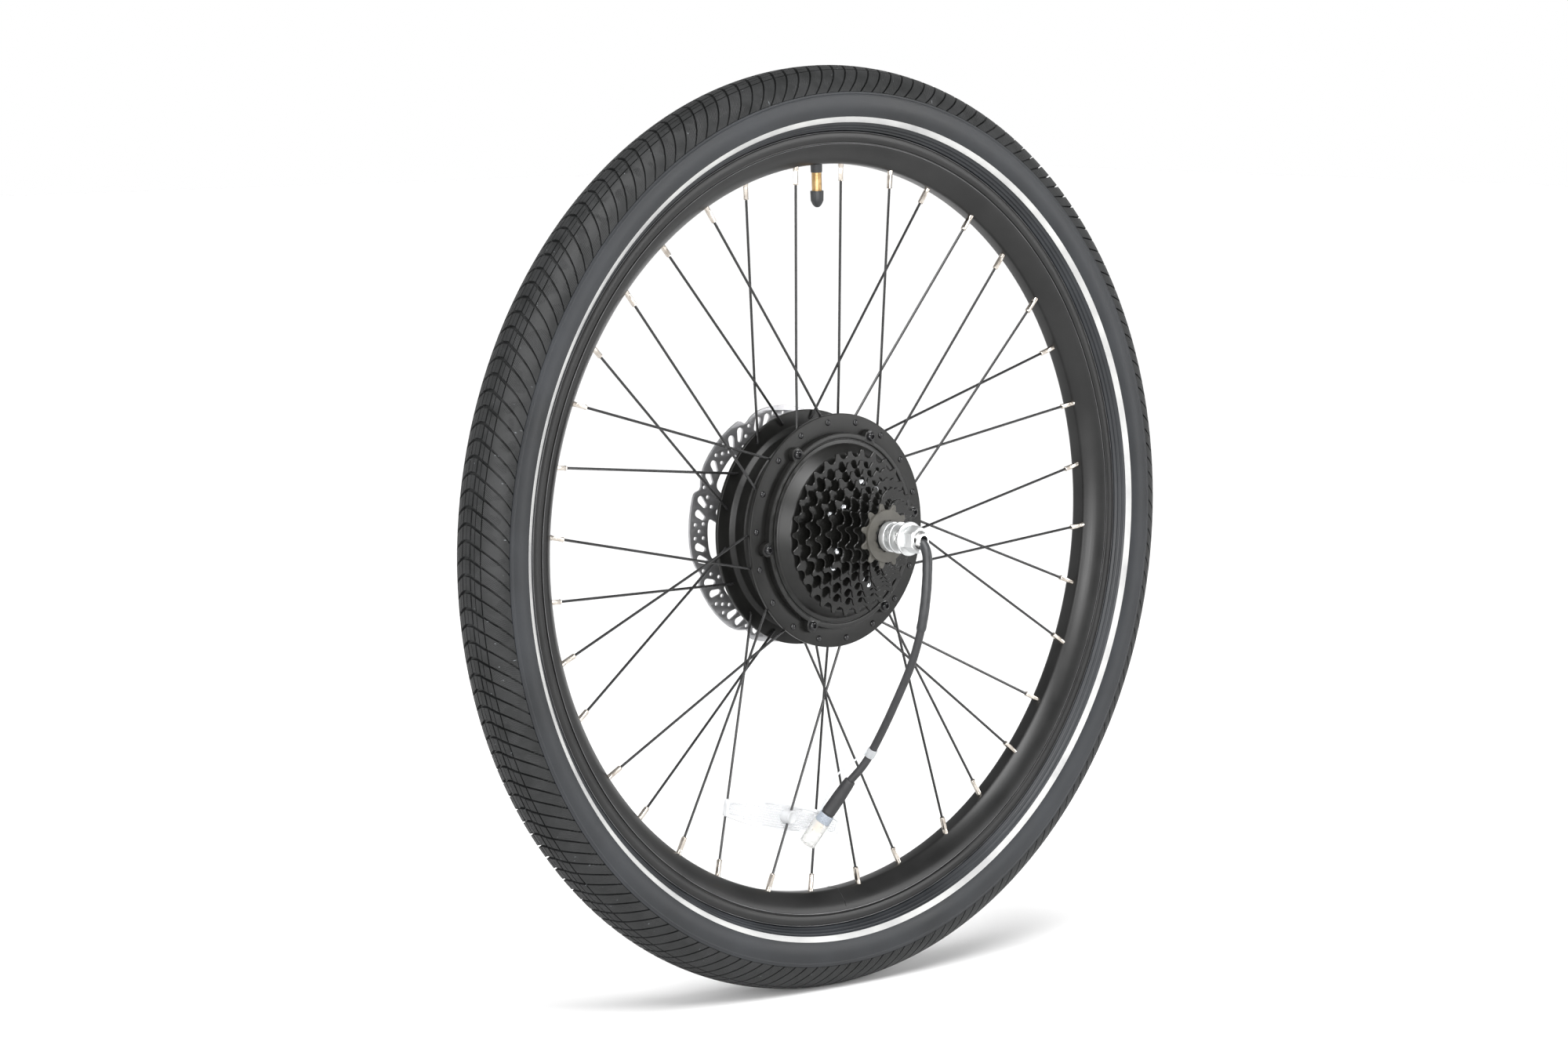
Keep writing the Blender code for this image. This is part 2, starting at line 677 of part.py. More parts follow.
def make_axle_hardware():
    ring("drive_locknut", NUT_BORE_RADIUS, 0.0113, DRIVE_LOCKNUT_Y, -0.0699, "zinc_plate", SMALL_STEPS)
    ring("drive_washer", NUT_BORE_RADIUS, 0.0118, -0.0825, -0.0805, "zinc_plate", SMALL_STEPS)
    ring("brake_locknut", NUT_BORE_RADIUS, 0.0113, 0.0609, BRAKE_LOCKNUT_Y, "zinc_plate", SMALL_STEPS)
    ring("brake_washer", NUT_BORE_RADIUS, 0.0118, 0.0730, 0.0750, "zinc_plate", SMALL_STEPS)
    for name, back, direction in (("drive_axle_nut", -0.0905, -1.0), ("brake_axle_nut", 0.0822, 1.0)):
        shoulder = back + direction * 0.0022
        front = back + direction * 0.0129
        overlap = Vector((0.0, direction * 0.001, 0.0))
        start = Vector((0.0, back, 0.0))
        end = Vector((0.0, front, 0.0))
        nut = rod(name, start, (0.0, shoulder, 0.0), NUT_FLANGE_RADIUS, "zinc_plate", SMALL_STEPS)
        nut = join(nut, rod("hexagon", start + overlap, end, NUT_CORNER_RADIUS, "zinc_plate", 6))
        cut(nut, rod("bore", start - overlap, end + overlap, NUT_BORE_RADIUS, "zinc_plate", SMALL_STEPS))
    ring("drive_side_bearing", AXLE_JOURNAL_RADIUS + GAP, 0.0109, -0.0360, -0.0245, "bright_steel", SMALL_STEPS)
    ring("brake_side_bearing", AXLE_JOURNAL_RADIUS + GAP, 0.0140, 0.0428, 0.0503, "bright_steel", SMALL_STEPS)


# ---------------------------------------------------------------- cassette
def sprocket_outline(teeth):
    """Tooth tips, flanks and the roller's round seat between them."""
    pitch_radius = CHAIN_PITCH / (2 * math.sin(math.pi / teeth))
    root = pitch_radius - 0.0036
    tip = pitch_radius + 0.0030
    points = []
    for tooth in range(teeth):
        centre = 360.0 * tooth / teeth
        half_root = math.degrees(0.0040 / root)
        for offset, radius in ((-half_root, root), (0.0, tip), (half_root, root)):
            point = polar(radius, centre + offset)
            points.append((point.x, point.z))
    return points


def make_cassette():
    freehub = [
        (0.0145, -0.0285),
        (FREEHUB_RADIUS, -0.0285),
        (FREEHUB_RADIUS, -0.0658),
        (0.0080, -0.0658),
        (0.0080, -0.0405),
        (0.0145, -0.0405),
    ]
    turned("freehub_body", freehub, "grey_steel", SMALL_STEPS)
    for index, teeth in enumerate(SPROCKET_TEETH):
        y = LARGEST_SPROCKET_Y - SPROCKET_PITCH * index
        look = "grey_steel" if teeth == SPROCKET_TEETH[-1] else "black_steel"
        name = f"sprocket_{teeth}t"
        outline = [sprocket_outline(teeth), circle_points(SPROCKET_BORE_RADIUS, SMALL_STEPS)]
        disc = plate(name, outline, y - SPROCKET_HALF_THICKNESS, y + SPROCKET_HALF_THICKNESS, look)
        if teeth > SHOULDERED_TEETH:
            continue
        shoulder_end = y + SPROCKET_PITCH - SPROCKET_HALF_THICKNESS - GAP
        size = (SPROCKET_BORE_RADIUS, SPROCKET_SHOULDER_RADIUS, y, shoulder_end)
        join(disc, ring("shoulder", *size, look, SMALL_STEPS))
    ring("cassette_lockring", 0.0120, 0.0185, -0.0688, -0.0663, "grey_steel", SMALL_STEPS)


# ---------------------------------------------------------------- planetary gears
def involute(angle):
    return math.tan(angle) - angle


def half_tooth_angle(teeth, radius, thinning):
    """Half of an involute tooth's angle at a radius, in radians."""
    pitch_radius = GEAR_MODULE * teeth / 2
    base_radius = pitch_radius * math.cos(PRESSURE_ANGLE)
    at_radius = math.acos(min(1.0, base_radius / radius))
    half = math.pi / (2 * teeth) - thinning / (2 * pitch_radius)
    return half + involute(PRESSURE_ANGLE) - involute(at_radius)


def gear_outline(teeth, first_tooth_deg, centre=(0.0, 0.0), internal=False):
    """Outline of a gear, or of the hole of an internal gear, whose tooth or tooth space starts at an angle."""
    pitch_radius = GEAR_MODULE * teeth / 2
    if internal:
        near = pitch_radius - 0.85 * GEAR_MODULE
        far = pitch_radius + 1.25 * GEAR_MODULE
        thinning = -GEAR_BACKLASH
    else:
        near = pitch_radius - 1.25 * GEAR_MODULE
        far = pitch_radius + 0.9 * GEAR_MODULE
        thinning = GEAR_BACKLASH
    points = []
    for tooth in range(teeth):
        middle = math.radians(first_tooth_deg) + 2 * math.pi * tooth / teeth
        wide = half_tooth_angle(teeth, near, thinning)
        narrow = half_tooth_angle(teeth, far, thinning)
        for offset, radius in ((-wide, near), (-narrow, far), (narrow, far), (wide, near)):
            angle = middle + offset
            points.append((centre[0] + radius * math.cos(angle), centre[1] + radius * math.sin(angle)))
    return points


def planet_phase_deg(position_deg):
    """The angle of a planet's tooth that meshes with a sun that has a tooth at 0 degrees."""
    sun_share = -position_deg * SUN_TEETH / 360.0
    return position_deg + 180.0 + (0.5 - sun_share) * 360.0 / PLANET_TEETH


def make_gears():
    sun = plate("sun_gear", [gear_outline(SUN_TEETH, 0.0)], GEAR_DRIVE_Y, GEAR_MOTOR_Y, "grey_steel")
    cut(sun, rod("bore", (0.0, -0.03, 0.0), (0.0, 0.0, 0.0), 0.0075, "grey_steel", SMALL_STEPS))
    carrier = ring("planet_carrier", AXLE_JOURNAL_RADIUS + GAP, 0.0370, -0.0232, -0.0203, "bright_steel")
    for index in range(PLANET_COUNT):
        position = 90.0 + 360.0 * index / PLANET_COUNT
        middle = polar(PLANET_CENTRE_RADIUS, position)
        phase = planet_phase_deg(position)
        centre = (middle.x, middle.z)
        planet = plate(f"planet_gear_{index + 1}", [gear_outline(PLANET_TEETH, phase, centre)],
                       GEAR_DRIVE_Y, GEAR_MOTOR_Y, "gear_nylon")
        low = Vector((middle.x, -0.0300, middle.z))
        high = Vector((middle.x, 0.0, middle.z))
        cut(planet, rod("bore", low, high, 0.0051, "gear_nylon", 12))
        pin_low = Vector((middle.x, -0.0220, middle.z))
        pin_high = Vector((middle.x, GEAR_MOTOR_Y - 0.0005, middle.z))
        carrier = join(carrier, rod("pin", pin_low, pin_high, 0.0045, "bright_steel", 12))
    first = 90.0
    space = first + (planet_phase_deg(first) - first) * PLANET_TEETH / RING_TEETH
    body = ring("ring_gear", 0.0480, 0.0572, GEAR_DRIVE_Y - 0.0030, GEAR_MOTOR_Y - 0.0010, "grey_steel")
    hole = plate("teeth", [gear_outline(RING_TEETH, space, internal=True)], -0.0300, 0.0, "grey_steel")
    cut(body, hole)


# ---------------------------------------------------------------- motor
def make_motor():
    """Stator teeth with their windings, and the bell that carries the magnets round them."""
    outline = []
    root = 0.0290
    half_width = 0.0026
    for tooth in range(STATOR_TEETH):
        middle = 360.0 * tooth / STATOR_TEETH
        for radius, sign in ((root, -1), (STATOR_RADIUS, -1), (STATOR_RADIUS, 1), (root, 1)):
            point = polar(radius, middle + sign * math.degrees(math.asin(half_width / radius)))
            outline.append((point.x, point.z))
    seat = circle_points(AXLE_SEAT_RADIUS + GAP, SMALL_STEPS)
    plate("stator_core", [outline, seat], 0.0040, 0.0280, "magnet")
    winding = ring("stator_winding", 0.0300, 0.0470, -0.0005, 0.0325, "copper")
    swollen = []
    for tooth in range(STATOR_TEETH):
        middle = 360.0 * tooth / STATOR_TEETH
        turn = Matrix.Rotation(-math.radians(middle), 4, "Y")
        size = (0.0240, 0.0248, 2 * (half_width + 0.0004))
        swollen.append(block("tooth", polar(0.0400, middle, 0.0160), size, "copper", turn))
    cut(winding, merged("teeth_space", swollen))
    bell = [
        (0.0079, -0.0075),
        (0.0125, -0.0075),
        (0.0130, -0.0065),
        (0.0580, -0.0055),
        (0.0580, 0.0300),
        (0.0553, 0.0300),
        (0.0553, -0.0028),
        (0.0079, -0.0030),
    ]
    turned("rotor_bell", bell, "bright_steel")
    ring("magnet_ring", MAGNET_INNER_RADIUS, 0.0549, 0.0020, 0.0285, "magnet")


# ---------------------------------------------------------------- cable, connector and reflector
def make_cable():
    tube("motor_cable", [(Vector(point), CABLE_RADIUS) for point in CABLE_ROUTE], "cable_jacket", 2)
    start = Vector(CABLE_ROUTE[-1])
    axis = (CAP_END - start).normalized()
    nose_end = CONNECTOR_END + axis * 0.0120
    stations = [
        (start + axis * 0.0004, 0.0042),
        (start + axis * 0.0030, 0.0046),
        (start + axis * 0.0150, 0.0052),
        (CONNECTOR_END, 0.0053),
        (CONNECTOR_END + axis * 0.0001, 0.0048),
        (nose_end, 0.0048),
    ]
    tube("cable_connector", stations, "cable_jacket", 3)
    cap_start = CONNECTOR_END + axis * 0.0010
    cap = rod("connector_cap", cap_start, CAP_END, CAP_RADIUS, "clear_plastic", 20, CAP_RADIUS - 0.0006)
    socket_end = CAP_END - axis * 0.0016
    cut(cap, rod("socket", CONNECTOR_END - axis * 0.0010, socket_end, 0.0056, "clear_plastic", 20, 0.0054))


def make_tether():
    """Collar round the cable with the strap that holds the connector's cap."""
    before, middle, after = [Vector(CABLE_ROUTE[TETHER_STATION + step]) for step in (-1, 0, 1)]
    along = (after - before).normalized()
    low, high = middle - along * 0.0034, middle + along * 0.0034
    collar = rod("cap_tether", low, high, 0.0047, "clear_plastic", 16)
    overrun = along * 0.002
    collar = cut(collar, rod("bore", low - overrun, high + overrun, CABLE_RADIUS + 0.0004, "clear_plastic", 16))
    axis = (CAP_END - Vector(CABLE_ROUTE[-1])).normalized()
    cap_top = CONNECTOR_END + axis * 0.0042
    away = (TETHER_SIDE - TETHER_SIDE.dot(axis) * axis).normalized()
    route = [middle.lerp(cap_top, share) + away * reach for share, reach in STRAP_BULGE]
    strap = tube("strap", [(point, STRAP_RADIUS) for point in smooth_path(route, 3)], "clear_plastic", 1)
    join(collar, strap)


def make_reflector():
    """Boat-shaped plate woven between the spokes, with the round clip that grips the middle spoke."""
    long_axis = REFLECTOR_RIGHT - REFLECTOR_LEFT
    half = long_axis.length / 2
    middle = (REFLECTOR_LEFT + REFLECTOR_RIGHT) / 2
    across = Vector((-long_axis.z, 0.0, long_axis.x)).normalized()
    unit = long_axis.normalized()
    outline = []
    steps = 6
    for sign in (1, -1):
        for step in range(steps + 1):
            t = -1.0 + 2.0 * step / steps
            rise = (REFLECTOR_HALF_HEIGHT - REFLECTOR_END_HALF_HEIGHT) * (1 - t * t)
            bulge = REFLECTOR_END_HALF_HEIGHT + rise
            point = middle + unit * (sign * -t * half * 0.985) + across * (sign * bulge)
            outline.append((point.x, point.z))
    thick = REFLECTOR_HALF_THICKNESS
    body = plate("spoke_reflector", [outline], -thick, thick, "clear_plastic")
    stations = spoke_stations(GRIPPED_SPOKE_DEG, GRIPPED_SPOKE_DEG + LACING_OFFSET_DEG, -1, CROSSING_BOW)
    crossing, end = stations[CROSSING_STATION][0], stations[-1][0]
    share = (CLIP_CENTRE_RADIUS - crossing.xz.length) / (end.xz.length - crossing.xz.length)
    grip = crossing.lerp(end, share)
    clip = rod("clip", (grip.x, -0.0010, grip.z), (grip.x, -0.0088, grip.z), CLIP_RADIUS, "clear_plastic", 16)
    body = join(body, clip)
    channel = rod("channel", crossing.lerp(end, share - 0.12), crossing.lerp(end, share + 0.12),
                  SPOKE_RADIUS + 0.0004, "clear_plastic", 8)
    cut(body, channel)


def main():
    make_tyre()
    make_inner_tube()
    make_rim()
    make_valve()
    make_spokes()
    make_hub_shell()
    make_side_cover()
    make_brake_disc()
    make_axle()
    make_axle_hardware()
    make_cassette()
    make_gears()
    make_motor()
    make_cable()
    make_tether()
    make_reflector()


clear_scene()
PARTS = make_collection("hub_motor_wheel")
CUTTERS = make_collection("cutters")
main()
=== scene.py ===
"""Looks of the rear hub motor wheel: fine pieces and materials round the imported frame, light and camera.

All sizes are in metres, in the frame's own axes: origin at the wheel's centre, +Y along the axle from
the drive side to the brake side, +Z up. Angles in the wheel's plane count from +X towards +Z, in degrees.
"""

import math

import bmesh
import bpy
import numpy as np
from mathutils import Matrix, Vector


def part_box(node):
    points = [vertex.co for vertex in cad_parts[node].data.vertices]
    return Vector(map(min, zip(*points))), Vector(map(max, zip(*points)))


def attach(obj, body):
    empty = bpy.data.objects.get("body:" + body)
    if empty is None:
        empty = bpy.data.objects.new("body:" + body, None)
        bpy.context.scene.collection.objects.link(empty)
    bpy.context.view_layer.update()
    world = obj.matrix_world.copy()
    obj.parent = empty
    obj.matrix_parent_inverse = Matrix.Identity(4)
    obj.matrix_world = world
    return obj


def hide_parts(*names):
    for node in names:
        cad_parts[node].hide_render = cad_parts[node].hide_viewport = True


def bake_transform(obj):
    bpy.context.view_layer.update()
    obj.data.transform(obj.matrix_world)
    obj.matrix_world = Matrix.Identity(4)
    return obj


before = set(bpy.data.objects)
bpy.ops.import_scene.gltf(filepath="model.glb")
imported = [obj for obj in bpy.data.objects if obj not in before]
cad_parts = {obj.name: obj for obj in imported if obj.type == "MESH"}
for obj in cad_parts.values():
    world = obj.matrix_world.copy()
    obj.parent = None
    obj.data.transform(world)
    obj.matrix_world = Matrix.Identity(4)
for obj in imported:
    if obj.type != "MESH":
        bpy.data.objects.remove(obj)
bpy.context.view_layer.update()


# ---------------------------------------------------------------- places read from the frame
def low(node):
    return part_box(node)[0]


def high(node):
    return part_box(node)[1]


TYRE_RADIUS = high("tyre").z
TYRE_HALF_WIDTH = high("tyre").y
RIM_FLANGE_RADIUS = high("rim").z
RIM_HALF_WIDTH = high("rim").y
DRIVE_FLANGE_Y = low("hub_shell").y
BRAKE_FLANGE_RADIUS = high("hub_shell").x
ROTOR_Y = (low("brake_rotor").y + high("brake_rotor").y) / 2
ROTOR_RADIUS = 0.0900
LOCKNUT_DRIVE = (low("drive_locknut").y, high("drive_locknut").y)
LOCKNUT_BRAKE = (low("brake_locknut").y, high("brake_locknut").y)
WASHER_DRIVE = (low("drive_washer").y, high("drive_washer").y)
WASHER_BRAKE = (low("brake_washer").y, high("brake_washer").y)
NUT_DRIVE = (high("drive_axle_nut").y, low("drive_axle_nut").y)
NUT_BRAKE = (low("brake_axle_nut").y, high("brake_axle_nut").y)
AXLE_ENDS = (low("axle").y, high("axle").y)
AXLE_BODY_ENDS = (-0.0700, 0.0610)
AXLE_FLAT = 0.0050
THREAD_PITCH = 0.00125

# ---------------------------------------------------------------- driving dimensions of the fine pieces
RIM_INNER_RADIUS = 0.2737
TREAD_PITCHES = 181
TREAD_DEPTH = 0.0025
TREAD_END = 0.0345
GROOVE_SWEEP = ((0.0, 0.0), (0.0037, 0.0004), (0.0048, 0.0010), (0.0130, 0.0058), (0.0200, 0.0106),
                (0.0270, 0.0166), (0.0354, 0.0257))
STRIPE_RADIUS = 0.3071
STRIPE_WIDTH = 0.0046
SPOKE_COUNT = 36
SPOKE_RADIUS = 0.00098
FIRST_NIPPLE_DEG = 6.8
NIPPLE_PITCH_DEG = 360.0 / SPOKE_COUNT
LACING_OFFSET_DEG = 20.0
SPOKE_CIRCLE_RADIUS = 0.0821
SPOKE_HEAD_RADIUS = 0.0024
FLANGE_THICKNESS = 0.0030
BRAKE_FLANGE_Y = 0.0212
DRIVE_FLANGE_RADIUS = 0.0878
NIPPLE_INNER_END = 0.2610
NIPPLE_OUTER_END = 0.2815
NIPPLE_Y = {-1: -0.0040, 1: -0.0010}
# (distance from the inner end, radius)
NIPPLE_STATIONS = ((-0.0002, 0.00112), (-0.0002, 0.00165), (0.0003, 0.00195), (0.0006, 0.00200),
                   (0.0008, 0.00205), (0.0092, 0.00205), (0.0096, 0.00200), (0.0100, 0.00200),
                   (0.0108, 0.00200), (0.0140, 0.00225))
# (height, share of the head's radius)
SPOKE_HEAD_DOME = ((-0.0002, 0.97), (0.0002, 1.0), (0.0006, 0.92), (0.0010, 0.72), (0.0013, 0.40),
                   (0.00135, 0.0))
CROSSING_BOW = 0.00065
VALVE_DEG = 91.8
SCREW_CIRCLE_RADIUS = 0.0751
COVER_SCREWS = 6
CHAIN_PITCH = 0.0127
SPROCKET_TEETH = (30, 26, 23, 20, 17, 15, 13, 11)
SPROCKET_BORE_RADIUS = 0.0176
SPROCKET_THICKNESS = 0.0018
# (share of half the tip's width, drop from the tip's height) across a tooth's tip
TIP_SHAPE = ((-1.25, 0.00065), (-1.0, 0.0002), (-0.5, 0.0), (0.5, 0.0), (1.0, 0.0002), (1.25, 0.00065))
# (teeth of the rivet's sprocket, radius, angle)
RIVETS = ((23, 0.0385, 93.5), (23, 0.0372, 153.9), (23, 0.0385, 217.0), (20, 0.0335, 76.5),
          (20, 0.0325, 138.5), (20, 0.0328, 199.0), (23, 0.0385, 277.0), (23, 0.0385, 337.0),
          (23, 0.0385, 33.0), (20, 0.0330, 259.0), (20, 0.0330, 318.0), (20, 0.0330, 18.0))
RIVET_STATIONS = ((0.0, 0.0026), (0.0005, 0.0026), (0.0012, 0.0023), (0.0016, 0.0016), (0.0018, 0.0007),
                  (0.0018, 0.0))
ROTOR_ARMS = 8
ROTOR_FIRST_NOTCH_DEG = 23.2
ROTOR_HALF_THICKNESS = 0.0009
# (degrees from the notch, depth of the edge) along one arm's share of the disc
ROTOR_EDGE = ((0.0, 0.0050), (0.8, 0.0044), (2.2, 0.0016), (3.4, 0.0003), (5.0, 0.0), (10.0, 0.0),
              (16.0, 0.0), (22.0, 0.0), (28.0, 0.0001), (33.0, 0.0004), (37.0, 0.0012), (40.0, 0.0024),
              (42.6, 0.0042), (43.8, 0.0050))

CABLE_DIAMETER = 0.0060
SLEEVE_RADIUS = 0.00365
CABLE_ROUTE = (
    (0.0000, -0.0940, 0.0000),
    (-0.0001, -0.1012, -0.0003),
    (-0.0003, -0.1070, -0.0036),
    (-0.0010, -0.1112, -0.0105),
    (-0.0022, -0.1128, -0.0215),
    (-0.0035, -0.1133, -0.0350),
    (-0.0045, -0.1124, -0.0490),
    (-0.0050, -0.1099, -0.0630),
    (-0.0054, -0.1060, -0.0765),
    (-0.0058, -0.1008, -0.0905),
    (-0.0063, -0.0940, -0.1045),
    (-0.0068, -0.0855, -0.1200),
    (-0.0075, -0.0740, -0.1400),
    (-0.0095, -0.0610, -0.1620),
    (-0.0125, -0.0545, -0.1730),
    (-0.0178, -0.0470, -0.1838),
)
CONNECTOR_END = Vector((-0.0275, -0.0335, -0.2085))
CAP_END = Vector((-0.0368, -0.0203, -0.2322))
PIN_CIRCLE_RADIUS = 0.0024
TETHER_STATION = 13

REFLECTOR_LEFT = Vector((-0.1015, 0.0, -0.2000))
REFLECTOR_RIGHT = Vector((0.0145, 0.0, -0.2275))
REFLECTOR_HALF_HEIGHT = 0.0114
REFLECTOR_END_HALF_HEIGHT = 0.0062
GRIPPED_SPOKE_DEG = 256.8
CLIP_CENTRE_RADIUS = 0.2178
CLIP_RADIUS = 0.0052


# ---------------------------------------------------------------- points and curves
def polar(radius, angle_deg, y=0.0):
    angle = math.radians(angle_deg)
    return Vector((radius * math.cos(angle), y, radius * math.sin(angle)))


def smooth_line(points, steps):
    """Catmull-Rom points through a line of points in any dimension."""
    route = np.array([tuple(p) for p in points], float)
    padded = np.vstack([2 * route[0] - route[1], route, 2 * route[-1] - route[-2]])
    line = []
    for a, b, c, d in zip(padded, padded[1:], padded[2:], padded[3:]):
        for step in range(steps):
            t = step / steps
            line.append(0.5 * (2 * b + (c - a) * t + (2 * a - 5 * b + 4 * c - d) * t ** 2
                               + (3 * b - a - 3 * c + d) * t ** 3))
    line.append(route[-1])
    return np.array(line)


def lengths_along(line):
    steps = np.linalg.norm(np.diff(line, axis=0), axis=1)
    return np.concatenate([[0.0], np.cumsum(steps)])


def eased(outline, cut, steps=3):
    """A closed outline with each corner rounded over up to a cut's length."""
    corners = [np.array(p, float) for p in outline]
    count = len(corners)
    rounded = []
    for index, corner in enumerate(corners):
        before = corners[index - 1] - corner
        after = corners[(index + 1) % count] - corner
        start = corner + before * min(cut / np.linalg.norm(before), 0.45)
        end = corner + after * min(cut / np.linalg.norm(after), 0.45)
        rounded += [curve_point(start, corner, end, step / steps) for step in range(steps + 1)]
    return np.array(rounded)


def full_turn(count):
    """Evenly spaced angles once round."""
    return np.linspace(0, 2 * math.pi, count, endpoint=False)


def circle(radius, count, centre=(0.0, 0.0)):
    angles = full_turn(count)
    return np.stack([centre[0] + radius * np.cos(angles), centre[1] + radius * np.sin(angles)], axis=1)


def curve_point(start, corner, end, t):
    """A point of the curve that leaves start and reaches end, both towards the corner."""
    return (1 - t) ** 2 * start + 2 * t * (1 - t) * corner + t ** 2 * end


def hexagon(angles):
    """Distance to a hexagon's edge, as a share of the distance to its flats."""
    return 1.0 / np.cos((angles + math.pi / 6) % (math.pi / 3) - math.pi / 6)


def shaped_at(stations, profile):
    """The shape of a turned solid's sections: profile(angles) at some stations, round at the others."""
    return lambda angles, station: profile(angles) if station in stations else np.ones(len(angles))


def side_name(side):
    return "drive" if side < 0 else "brake"


# ---------------------------------------------------------------- meshes
def grid(points, close_rows=False, close_columns=False):
    """Vertices and quads of a surface from an array of points of shape (rows, columns, 3)."""
    rows, columns = points.shape[:2]
    index = np.arange(rows * columns).reshape(rows, columns)
    if close_rows:
        index = np.vstack([index, index[:1]])
    if close_columns:
        index = np.hstack([index, index[:, :1]])
    faces = np.stack([index[:-1, :-1], index[1:, :-1], index[1:, 1:], index[:-1, 1:]], axis=-1)
    return points.reshape(-1, 3).tolist(), faces.reshape(-1, 4).tolist()


def dress(item, look, body, stands_for=(), smooth_deg=32.0):
    """Gives a piece its look by name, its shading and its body."""
    item.data.materials.clear()
    item.data.materials.append(LOOKS[look])
    if item.type == "MESH":
        item.data.shade_smooth()
        item.data.set_sharp_from_angle(angle=math.radians(smooth_deg))
    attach(item, body)
    if stands_for:
        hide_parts(*stands_for)


def put(name, data):
    """A new object in the scene, holding the data."""
    item = bpy.data.objects.new(name, data)
    bpy.context.scene.collection.objects.link(item)
    return item


def mend(mesh, merge_distance, dissolve_thin=False):
    """Merges doubled points and turns the faces outwards."""
    work = bmesh.new()
    work.from_mesh(mesh)
    bmesh.ops.remove_doubles(work, verts=work.verts, dist=merge_distance)
    if dissolve_thin:
        bmesh.ops.dissolve_degenerate(work, edges=work.edges, dist=merge_distance)
    bmesh.ops.recalc_face_normals(work, faces=work.faces)
    work.to_mesh(mesh)
    work.free()


def add_mesh(name, vertices, faces, turn_outwards=True):
    mesh = bpy.data.meshes.new(name)
    mesh.from_pydata(vertices, [], faces)
    if turn_outwards:
        mend(mesh, 0.0000005, dissolve_thin=True)
    return put(name, mesh)


def surface(name, rings, flat_ends=False):
    """A mesh through rings of points, closed on itself or with a flat face on each end."""
    rings = np.array(rings)
    vertices, faces = grid(rings, close_rows=not flat_ends, close_columns=True)
    if flat_ends:
        sides = rings.shape[1]
        last = len(vertices) - sides
        faces.append(list(range(sides)))
        faces.append(list(range(last, last + sides)))
    return add_mesh(name, vertices, faces)


def axle_ring(radius, y, angles):
    """Points round the axle's axis; radius and y may differ from point to point."""
    along = np.broadcast_to(y, angles.shape)
    return np.stack([radius * np.cos(angles), along, radius * np.sin(angles)], axis=-1)


def turned(name, profile, steps=180, bulge=None):
    """A closed (radius, y) outline turned about the Y axis.

    A third value at a point is its weight: how much of bulge(angles) it moves out by.
    """
    angles = full_turn(steps)
    swell = 0.0 if bulge is None else bulge(angles)
    rings = [axle_ring(radius + sum(weight) * swell, y, angles) for radius, y, *weight in profile]
    return surface(name, rings)


def lathe(name, origin, axis, stations, sides=32, shape=None, flat_ends=True):
    """A solid turned about any axis from (distance, radius) stations.

    shape(angles, station) scales the radius round the section, for flats, ribs and sockets.
    Without flat ends, the stations are a closed outline.
    """
    origin, axis = Vector(origin), Vector(axis).normalized()
    turn = axis.to_track_quat("Z", "Y").to_matrix()
    across = np.array(turn @ Vector((1, 0, 0)))
    upward = np.array(turn @ Vector((0, 1, 0)))
    angles = full_turn(sides)
    rings = []
    for number, (along, radius) in enumerate(stations):
        scale = np.ones(sides) if shape is None else shape(angles, number)
        spokes = np.outer(np.cos(angles) * scale, across) + np.outer(np.sin(angles) * scale, upward)
        rings.append(np.array(origin + axis * along) + radius * spokes)
    return surface(name, rings, flat_ends)


def tube(name, line, radii, sides=12):
    """A round solid along a line of points, with a radius at each."""
    line = np.array([tuple(p) for p in line], float)
    tangents = np.gradient(line, axis=0)
    tangents /= np.linalg.norm(tangents, axis=1)[:, None]
    across = np.cross(tangents[0], (0.31, 0.17, 0.94))
    across /= np.linalg.norm(across)
    angles = full_turn(sides)
    rings = []
    for middle, tangent, radius in zip(line, tangents, radii):
        across = across - tangent * across.dot(tangent)
        across /= np.linalg.norm(across)
        upward = np.cross(tangent, across)
        rings.append(middle + radius * (np.outer(np.cos(angles), across) + np.outer(np.sin(angles), upward)))
    return surface(name, rings, flat_ends=True)


def worked_mesh(item):
    """The item's mesh as it stands once its settings and modifiers are worked in."""
    bpy.context.view_layer.update()
    graph = bpy.context.evaluated_depsgraph_get()
    return bpy.data.meshes.new_from_object(item.evaluated_get(graph))


def line_curve(name, dimensions, lines, closed):
    """A curve of straight runs through lines of points."""
    curve = bpy.data.curves.new(name, "CURVE")
    curve.dimensions = dimensions
    for line in lines:
        spline = curve.splines.new("POLY")
        spline.points.add(len(line) - 1)
        for point, place in zip(spline.points, line):
            point.co = (*place, *(0.0,) * (3 - len(place)), 1.0)
        spline.use_cyclic_u = closed
    return curve


def plate(name, outlines, y_low, y_high, bevel):
    """A flat plate in the wheel's plane with softened edges; the first outline is the outer one."""
    curve = line_curve(name, "2D", outlines, closed=True)
    curve.fill_mode = "BOTH"
    curve.extrude = (y_high - y_low) / 2 - bevel
    curve.bevel_depth = bevel
    curve.bevel_resolution = 1
    curve.offset = -bevel
    drawn = put(name + "_outline", curve)
    drawn.location = (0.0, (y_low + y_high) / 2, 0.0)
    drawn.rotation_euler = (math.pi / 2, 0.0, 0.0)
    mesh = worked_mesh(drawn)
    mesh.transform(drawn.matrix_world)
    bpy.data.objects.remove(drawn, do_unlink=True)
    mend(mesh, 0.000001)
    mesh.name = name
    return put(name, mesh)


def joined(name, items):
    """One piece out of several meshes."""
    work = bmesh.new()
    for item in items:
        part = item.data
        part.transform(item.matrix_world)
        work.from_mesh(part)
        bpy.data.objects.remove(item, do_unlink=True)
    mesh = bpy.data.meshes.new(name)
    work.to_mesh(mesh)
    work.free()
    return put(name, mesh)


